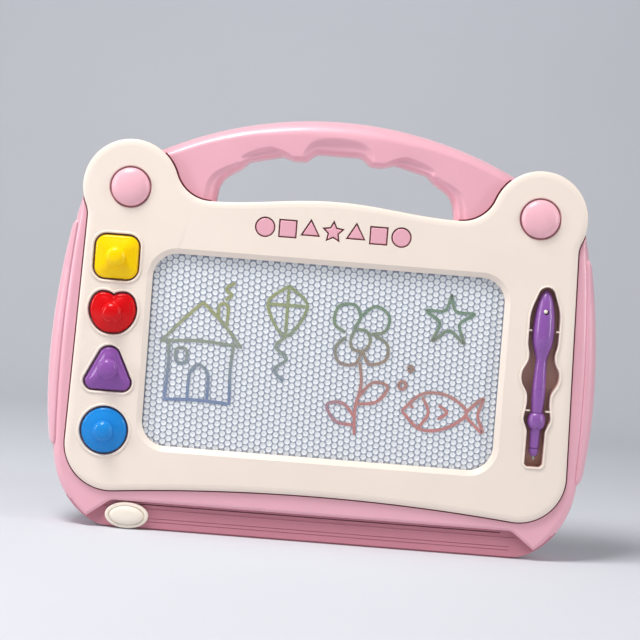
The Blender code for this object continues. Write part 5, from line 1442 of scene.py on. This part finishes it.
def make_rear_shell(surface):
    """Rear shell: back wall, screw bosses, eraser runners and rear half of the handle."""
    back = BOARD_DEPTH + OVERRUN
    shell = cut(body_form(REAR_SHELL_FRONT, back), rear_cavity())
    for place in board_screws():
        join(shell, peg(place, BOSS_RADIUS, REAR_SHELL_FRONT, REAR_WALL_FRONT + BOND))
    half = WINDOW_HALF_WIDTH + RUNNER_REACH
    front = CARRIAGE_BACK + SEAT_GAP
    for z in (CHANNEL_TOP_Z + RUNNER_LOW_RISE, WINDOW_TOP_Z + RUNNER_HIGH_RISE):
        join(shell, bar(half, z, z + RUNNER_THICKNESS, front, REAR_WALL_FRONT + BOND))
    for reach, start, end in ((GUIDE_THICKNESS / 2, front + BOND, REAR_WALL_FRONT + BOND),
                              (GUIDE_HALF_HEIGHT, front, front + GUIDE_THICKNESS)):
        join(shell, bar(half, SLOT_Z - reach, SLOT_Z + reach, start, end))
    for name, place, seat in screw_places():
        cut(shell, peg(place, SCREW_SHANK + SCREW_GAP, PARTING_DEPTH - OVERRUN, back))
        cut(shell, peg(place, SCREW_HEAD + SCREW_GAP, seat, back))
    dress(shell, "rear_shell", "board", "pink_plastic", surface, "back_cover")


def make_screws(surface):
    """Screws from the back: a pan head with a cross recess on its seat and a shank into the front half."""
    for name, (x, z), seat in screw_places():
        tip = PARTING_DEPTH - SCREW_BITE if "handle" in name else POST_REACH - POST_BITE
        head = seat + SEAT_GAP
        profile = [(SCREW_SHANK / 2, tip), (SCREW_SHANK, tip + SCREW_SHANK), (SCREW_SHANK, head),
                   (SCREW_HEAD, head)]
        for sine, cosine in quarter(EDGE_STEPS)[:-1]:
            wide, up = [SCREW_FLAT + (1 - SCREW_FLAT) * part for part in (cosine, sine)]
            profile.append((SCREW_HEAD * wide, head + SCREW_HEAD_HEIGHT * up))
        screw = turned(profile, (x, world_y(0.0), z), "Y", SCREW_SIDES)
        long = SCREW_HEAD * SCREW_CROSS_LONG
        thin = SCREW_HEAD * SCREW_CROSS_THIN
        deep = head + SCREW_HEAD_HEIGHT * SCREW_CROSS_DEEP
        for wide, tall in ((long, thin), (thin, long)):
            cut(screw, bar(wide, z - tall, z + tall, deep, head + SCREW_HEAD_HEIGHT + OVERRUN, x))
        dress(screw, name + "_steel", "board", "steel", surface, name)


def make_ear_caps(surface):
    """Domed caps in the two ears."""
    radius = CAP_RADIUS - SEEN_GAP
    profile = [(radius, BEZEL_THICKNESS), (radius, CAP_EDGE)]
    profile += [(radius * cosine ** CAP_ROUND, -CAP_DOME * sine)
                for sine, cosine in quarter(EDGE_STEPS * 2)[:-1]]
    profile.append((radius * CAP_TIP, -CAP_DOME))
    for side, word in SIDES:
        cap = turned(profile, (side * EAR_X, world_y(0.0), EAR_Z), "Y", ROUND_SIDES)
        # The caps take the lighter pink, a painted light
        dress(cap, "cap_dome_" + word, "board", "pink_plastic", surface, "ear_cap_" + word)


def cell_places():
    """Centres of the honeycomb's cells, in columns with every second one half a cell higher."""
    low = PANEL_BOTTOM_Z + CELL_RADIUS + CELL_MARGIN
    high = PANEL_TOP_Z - CELL_RADIUS - CELL_MARGIN
    reach = int((PANEL_HALF_WIDTH - CELL_RADIUS - CELL_MARGIN) / CELL_PITCH_X)
    places = []
    for column in range(-reach, reach + 1):
        z = low + (column % 2) * CELL_PITCH_Z / 2
        while z <= high:
            places.append((column * CELL_PITCH_X, z))
            z += CELL_PITCH_Z
    return places


def scattered(radius, front, back):
    """One object with an equal round prism at each cell."""
    outline = circle((0.0, 0.0), radius, CELL_SIDES)
    return solids(*[[level(shifted(outline, x, z), depth) for depth in (front, back)]
                    for x, z in cell_places()])


def make_panel(wall, white, spot):
    """Honeycomb of open cells with a white filling and a faint spot in each."""
    plate = prism(panel_outline(), HONEYCOMB_FRONT, HONEYCOMB_FRONT + HONEYCOMB_THICKNESS)
    floor = HONEYCOMB_FRONT + CELL_DEPTH
    cut(plate, scattered(CELL_RADIUS, HONEYCOMB_FRONT - OVERRUN, floor))
    dress(plate, "cell_plate", "board", "honeycomb", wall, "screen_honeycomb")
    plate.data.materials.append(white)
    for face in plate.data.polygons:
        if world_y(HONEYCOMB_FRONT + WELD) < face.center.y < world_y(floor + WELD):
            face.material_index = 1
    spots = scattered(SPOT_RADIUS, floor - SPOT_HEIGHT, floor + SPOT_HEIGHT)
    dress(spots, "cell_spots", "board", "honeycomb", spot)


def stroke(points, index):
    """Rings of a drawn line: a thin ribbon whose width wavers a little."""
    line = smoothed([(x * DOODLE_UNIT, WINDOW_MID_Z + z * DOODLE_UNIT) for x, z in points], STROKE_STEPS)
    front = STROKE_FRONT + STROKE_STEP * (index % STROKE_LEVELS)
    rings = []
    for k, here in enumerate(line):
        before = line[max(0, k - 1)]
        after = line[min(len(line) - 1, k + 1)]
        way = (Vector(after) - Vector(before)).normalized()
        half = STROKE_HALF_WIDTH * draw.uniform(1 - STROKE_WAVER, 1 + STROKE_WAVER)
        if k in (0, len(line) - 1):
            half *= STROKE_END_SHARE
        side = Vector((-way.y, way.x)) * half
        rings.append([(here[0] + s * side.x, world_y(depth), here[1] + s * side.y)
                      for s, depth in ((1, front), (-1, front), (-1, STROKE_BACK), (1, STROKE_BACK))])
    return rings


def make_stamp(kind, slot, surface):
    """A stamp with a pillow-shaped base and a round knob."""
    edge = inset(stamp_outline(kind), SEEN_GAP)
    bottom = STAMP_FLOOR_DEPTH - SEAT_GAP
    crown = STAMP_RIM_DEPTH + STAMP_DOME
    rim_depth = STAMP_EDGE * (STAMP_EDGE_UP - 1)
    layers = [(edge, bottom)] + bent(edge, STAMP_EDGE, rim_depth, STAMP_EDGE, EDGE_STEPS)
    crest, low = layers[-1]
    for k in range(1, DOME_STEPS + 1):
        size = 1 - DOME_RUN_SHARE * k / DOME_STEPS
        layers.append(([(x * size, z * size) for x, z in crest], low + (-crown - low) * (1 - size ** 2)))
    stamp = stack([(shifted(ring, STAMP_X, stamp_z(kind)), depth) for ring, depth in layers])
    foot = crown - KNOB_SINK
    profile = [(STAMP_KNOB_RADIUS * wide, -foot - (STAMP_KNOB_REACH - foot) * up)
               for wide, up in smoothed(STAMP_KNOB_SHARES, KNOB_CURVE_STEPS)]
    profile.append((STAMP_KNOB_RADIUS * STAMP_KNOB_TIP, -STAMP_KNOB_REACH))
    centre = (STAMP_X, world_y(0.0), stamp_z(kind))
    join(stamp, turned(profile, centre, "Y", SMALL_SIDES))
    seat = STAMP_MAGNET_RADIUS + SEAT_GAP
    recess = [(seat, bottom - STAMP_MAGNET_THICKNESS - SEAT_GAP), (seat, bottom + OVERRUN)]
    cut(stamp, turned(recess, centre, "Y", SMALL_SIDES))
    dress(stamp, kind + "_stamp_body", kind + "_stamp", slot, surface, "stamp_" + kind)


def make_pen(surface, metal, pale):
    """Pen: swelling barrel with an eyelet, nose with a ball collar, and a magnetic nib."""
    foot = (PEN_X, world_y(PEN_AXIS_DEPTH), PEN_BARREL_FOOT_Z)
    shares = [(wide, up) for up, wide in PEN_BARREL_SHARES]
    profile = [(PEN_BELLY_RADIUS * wide, PEN_BARREL_LENGTH * up)
               for wide, up in shares[:1] + smoothed(shares[1:] + [PEN_END_SHARES], PEN_CURVE_STEPS)]
    barrel = turned(profile, foot, "Z", SMALL_SIDES)
    socket = PEN_SPIGOT_RADIUS + SEAT_GAP
    cut(barrel, turned([(socket, -OVERRUN), (socket, PEN_SPIGOT_LENGTH + SEAT_GAP)], foot, "Z", SCREW_SIDES))
    hole_z = PEN_BARREL_FOOT_Z + PEN_BARREL_LENGTH * PEN_STRING_SHARE
    front = PEN_AXIS_DEPTH - PEN_BELLY_RADIUS - OVERRUN
    cut(barrel, peg((PEN_X, hole_z), PEN_STRING_HOLE, front, PEN_AXIS_DEPTH + PEN_BELLY_RADIUS + OVERRUN))
    dress(barrel, "pen_body", "pen", "pen_plastic", surface, "pen_barrel")
    plug = [(PLUG_RADIUS, PEN_AXIS_DEPTH - PLUG_REACH * PLUG_SINK_SHARE)]
    dome = PLUG_RADIUS * PLUG_DOME_SHARE
    plug += [(PLUG_RADIUS * cosine, PEN_AXIS_DEPTH - PLUG_REACH - dome * sine)
             for sine, cosine in quarter(EDGE_STEPS)[:-1]]
    eyelet = turned(plug, (PEN_X - PLUG_OFF, world_y(0.0), hole_z + PLUG_OFF), "Y", SCREW_SIDES)
    dress(eyelet, "pen_eyelet", "pen", "white_plastic", pale)
    top = (PEN_X, world_y(PEN_AXIS_DEPTH), PEN_COLLAR_FOOT_Z + PEN_COLLAR_LENGTH)
    half = PEN_COLLAR_LENGTH / 2
    ball = arc((PEN_NOSE_RADIUS, -half), PEN_COLLAR_RADIUS - PEN_NOSE_RADIUS, half, math.pi / 2, -math.pi / 2,
               EDGE_STEPS * 3)
    nose = -PEN_COLLAR_LENGTH - PEN_NOSE_LENGTH
    profile = [(PEN_SPIGOT_RADIUS, PEN_SPIGOT_LENGTH), (PEN_SPIGOT_RADIUS, 0.0)] + ball
    for radius, shares in ((PEN_NOSE_RADIUS, PEN_WAIST_SHARES), (PEN_TIP_RADIUS, PEN_TIP_SHARES)):
        profile += [(radius * wide, nose + PEN_NOSE_LENGTH * up) for wide, up in shares]
    piece = turned(profile, top, "Z", SMALL_SIDES)
    seat = PEN_NIB_RADIUS + SEAT_GAP
    cut(piece, turned([(seat, nose - OVERRUN), (seat, nose + PEN_NIB_SEAT)], top, "Z", SCREW_SIDES))
    dress(piece, "pen_tip", "pen", "pen_plastic", surface, "pen_nose")
    end = nose - PEN_NIB_REACH
    pin = [(PEN_NIB_RADIUS * sine, end + PEN_NIB_RADIUS * (1 - cosine))
           for sine, cosine in quarter(EDGE_STEPS)[1:]]
    pin.append((PEN_NIB_RADIUS, nose + PEN_NIB_SEAT - SEAT_GAP))
    dress(turned(pin, top, "Z", SCREW_SIDES), "pen_point", "pen", "steel", metal, "pen_nib")


def make_slider_knob(surface):
    """Oval knob: flange in the channel, a ring and groove round a raised dome, and a flat stem."""
    back = CHANNEL_DEPTH - SEAT_GAP
    edge = (back - KNOB_FLANGE_FRONT) / 3
    sections = [(0.0, back)]
    sections += [(edge * (1 - cosine), KNOB_FLANGE_FRONT + edge * (1 - sine))
                 for sine, cosine in quarter(EDGE_STEPS)]
    ring_end = edge + KNOB_RING_WIDTH
    run = KNOB_FLANGE_HALF_WIDTH - KNOB_DOME_HALF_WIDTH - ring_end
    sections += [(ring_end + run * across, KNOB_FLANGE_FRONT + KNOB_GROOVE_DEPTH * deep)
                 for across, deep in KNOB_GROOVE_SHARES]
    sizes = [(KNOB_FLANGE_HALF_WIDTH - off, KNOB_FLANGE_HALF_HEIGHT - off, depth) for off, depth in sections]
    for sine, cosine in quarter(DOME_STEPS)[1:]:
        share = cosine ** KNOB_DOME_ROUND * (1 - KNOB_TIP) + KNOB_TIP
        depth = KNOB_FLANGE_FRONT - (KNOB_FLANGE_FRONT - KNOB_TOP_DEPTH) * sine
        sizes.append((KNOB_DOME_HALF_WIDTH * share, KNOB_DOME_HALF_HEIGHT * share, depth))
    knob = stack([(oval((KNOB_START_X, KNOB_Z), wide, tall, ROUND_SIDES), depth)
                  for wide, tall, depth in sizes])
    join(knob, bar(KNOB_STEM_WIDTH / 2, STEM_LOW_Z, STEM_HIGH_Z, back - BOND, CARRIAGE_BACK, KNOB_START_X))
    dress(knob, "eraser_knob", "eraser", "cream_plastic", surface, "slider_knob")


# Studio

def area_light(name, place, target, width, height, power, tint=(1.0, 1.0, 1.0)):
    """A soft lamp that faces a target."""
    lamp = bpy.data.lights.new(name, "AREA")
    lamp.shape = "RECTANGLE"
    lamp.size = width
    lamp.size_y = height
    lamp.energy = power
    lamp.color = tint
    made = bpy.data.objects.new(name, lamp)
    made.location = place
    made.rotation_euler = (Vector(target) - Vector(place)).to_track_quat("-Z", "Y").to_euler()
    bpy.context.scene.collection.objects.link(made)


def make_studio():
    """Pale floor that turns up into a backdrop, soft lamps and an even world."""
    line = [(-STAGE_FRONT, 0.0), (STAGE_BACK, 0.0)]
    line += [(STAGE_BACK + STAGE_SWEEP * sine, STAGE_SWEEP * (1 - cosine))
             for sine, cosine in quarter(CORNER_STEPS)[1:]]
    line.append((STAGE_BACK + STAGE_SWEEP, STAGE_HEIGHT))
    shape = bmesh.new()
    left, right = [[shape.verts.new((side * STAGE_HALF_WIDTH, y, z)) for y, z in line] for side in (-1, 1)]
    for k in range(len(line) - 1):
        shape.faces.new((left[k], right[k], right[k + 1], left[k + 1]))
    stage = new_object(shape, "stage")
    stage.data.shade_smooth()
    made, tree, shader, place = new_material("stage_paint")
    cloud = spread(tree, noise(tree, place, *STAGE_SCALE), 0.0, 1.0)
    wire(tree, shader, Base_Color=mixed(tree, cloud, *[shade(FLOOR, tone) for tone in STAGE_TONES]),
         Roughness=STAGE_ROUGHNESS)
    stage.data.materials.append(made)
    target = (0.0, 0.0, BOARD_TOP_Z / 2)
    area_light("key", KEY_PLACE, target, KEY_SIZE, KEY_SIZE, KEY_POWER, KEY_TINT)
    area_light("fill", FILL_PLACE, target, FILL_SIZE, FILL_SIZE, FILL_POWER)
    for x, power in ((-STRIP_X, STRIP_LEFT_POWER), (STRIP_X, STRIP_RIGHT_POWER)):
        area_light("strip", (x, STRIP_Y, STRIP_Z), (0.0, 0.0, STRIP_Z), STRIP_WIDTH, STRIP_HEIGHT, power)
    world = bpy.data.worlds.new("studio")
    bpy.context.scene.world = world
    world.use_nodes = True
    wire(world.node_tree, world.node_tree.nodes["Background"], Color=WORLD_TINT, Strength=WORLD_STRENGTH)
    bpy.context.scene.view_settings.view_transform = "Standard"


def make_camera():
    """Camera at the photograph's angle, rolled because the board leans in the picture."""
    lens = bpy.data.cameras.new("camera")
    lens.lens = CAMERA_LENS
    lens.sensor_width = CAMERA_SENSOR
    made = bpy.data.objects.new("camera", lens)
    bpy.context.scene.collection.objects.link(made)
    target = Vector((CAMERA_TARGET_X, 0.0, CAMERA_TARGET_Z))
    way = Vector((0.0, -math.cos(CAMERA_ELEVATION), math.sin(CAMERA_ELEVATION)))
    turn = (-way).to_track_quat("-Z", "Y").to_matrix().to_4x4() @ Matrix.Rotation(CAMERA_ROLL, 4, "Z")
    made.matrix_world = Matrix.Translation(target + way * CAMERA_DISTANCE) @ turn
    bpy.context.scene.camera = made


def main():
    """Dress every piece of the drawing board and set up the studio."""
    make_camera()
    make_studio()
    look = {name: moulded(name, *row) for name, row in MOULDED.items()}
    look.update({name: filling(name, *row) for name, row in FILLINGS.items()})
    steel = brushed("screw_plating", STEEL)
    make_bezel(look["cream_moulded"])
    make_front_shell(look["pink_moulded"], look["channel_painted_shade"], look["seam_shade"], look["well_painted_shade"])
    make_rear_shell(look["pink_moulded"])
    make_ear_caps(look["cap_painted_light"])
    make_screws(steel)
    make_panel(look["cell_wall"], look["cell_filling"], look["cell_spot"])
    drawing = solids(*[stroke(points, index) for index, points in enumerate(DOODLES)])
    dress(drawing, "drawn_lines", "board", "honeycomb", powder("drawn_powder"))
    for kind, slot in STAMP_SLOTS.items():
        make_stamp(kind, slot, look[kind + "_gloss"])
    make_pen(look["pen_gloss"], steel, look["eyelet_moulded"])
    make_slider_knob(look["knob_moulded"])
    carried = {"screen_front_sheet": film("clear_film"), "screen_back_sheet": look["backing_film"],
               "eraser_carriage": look["carriage_moulded"], "eraser_magnet": look["magnet_bonded"]}
    carried.update({f"stamp_{kind}_magnet": look["magnet_bonded"] for kind in STAMP_KINDS})
    for name, surface in carried.items():
        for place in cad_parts[name].material_slots:
            place.material = surface


draw = random.Random(7)
main()
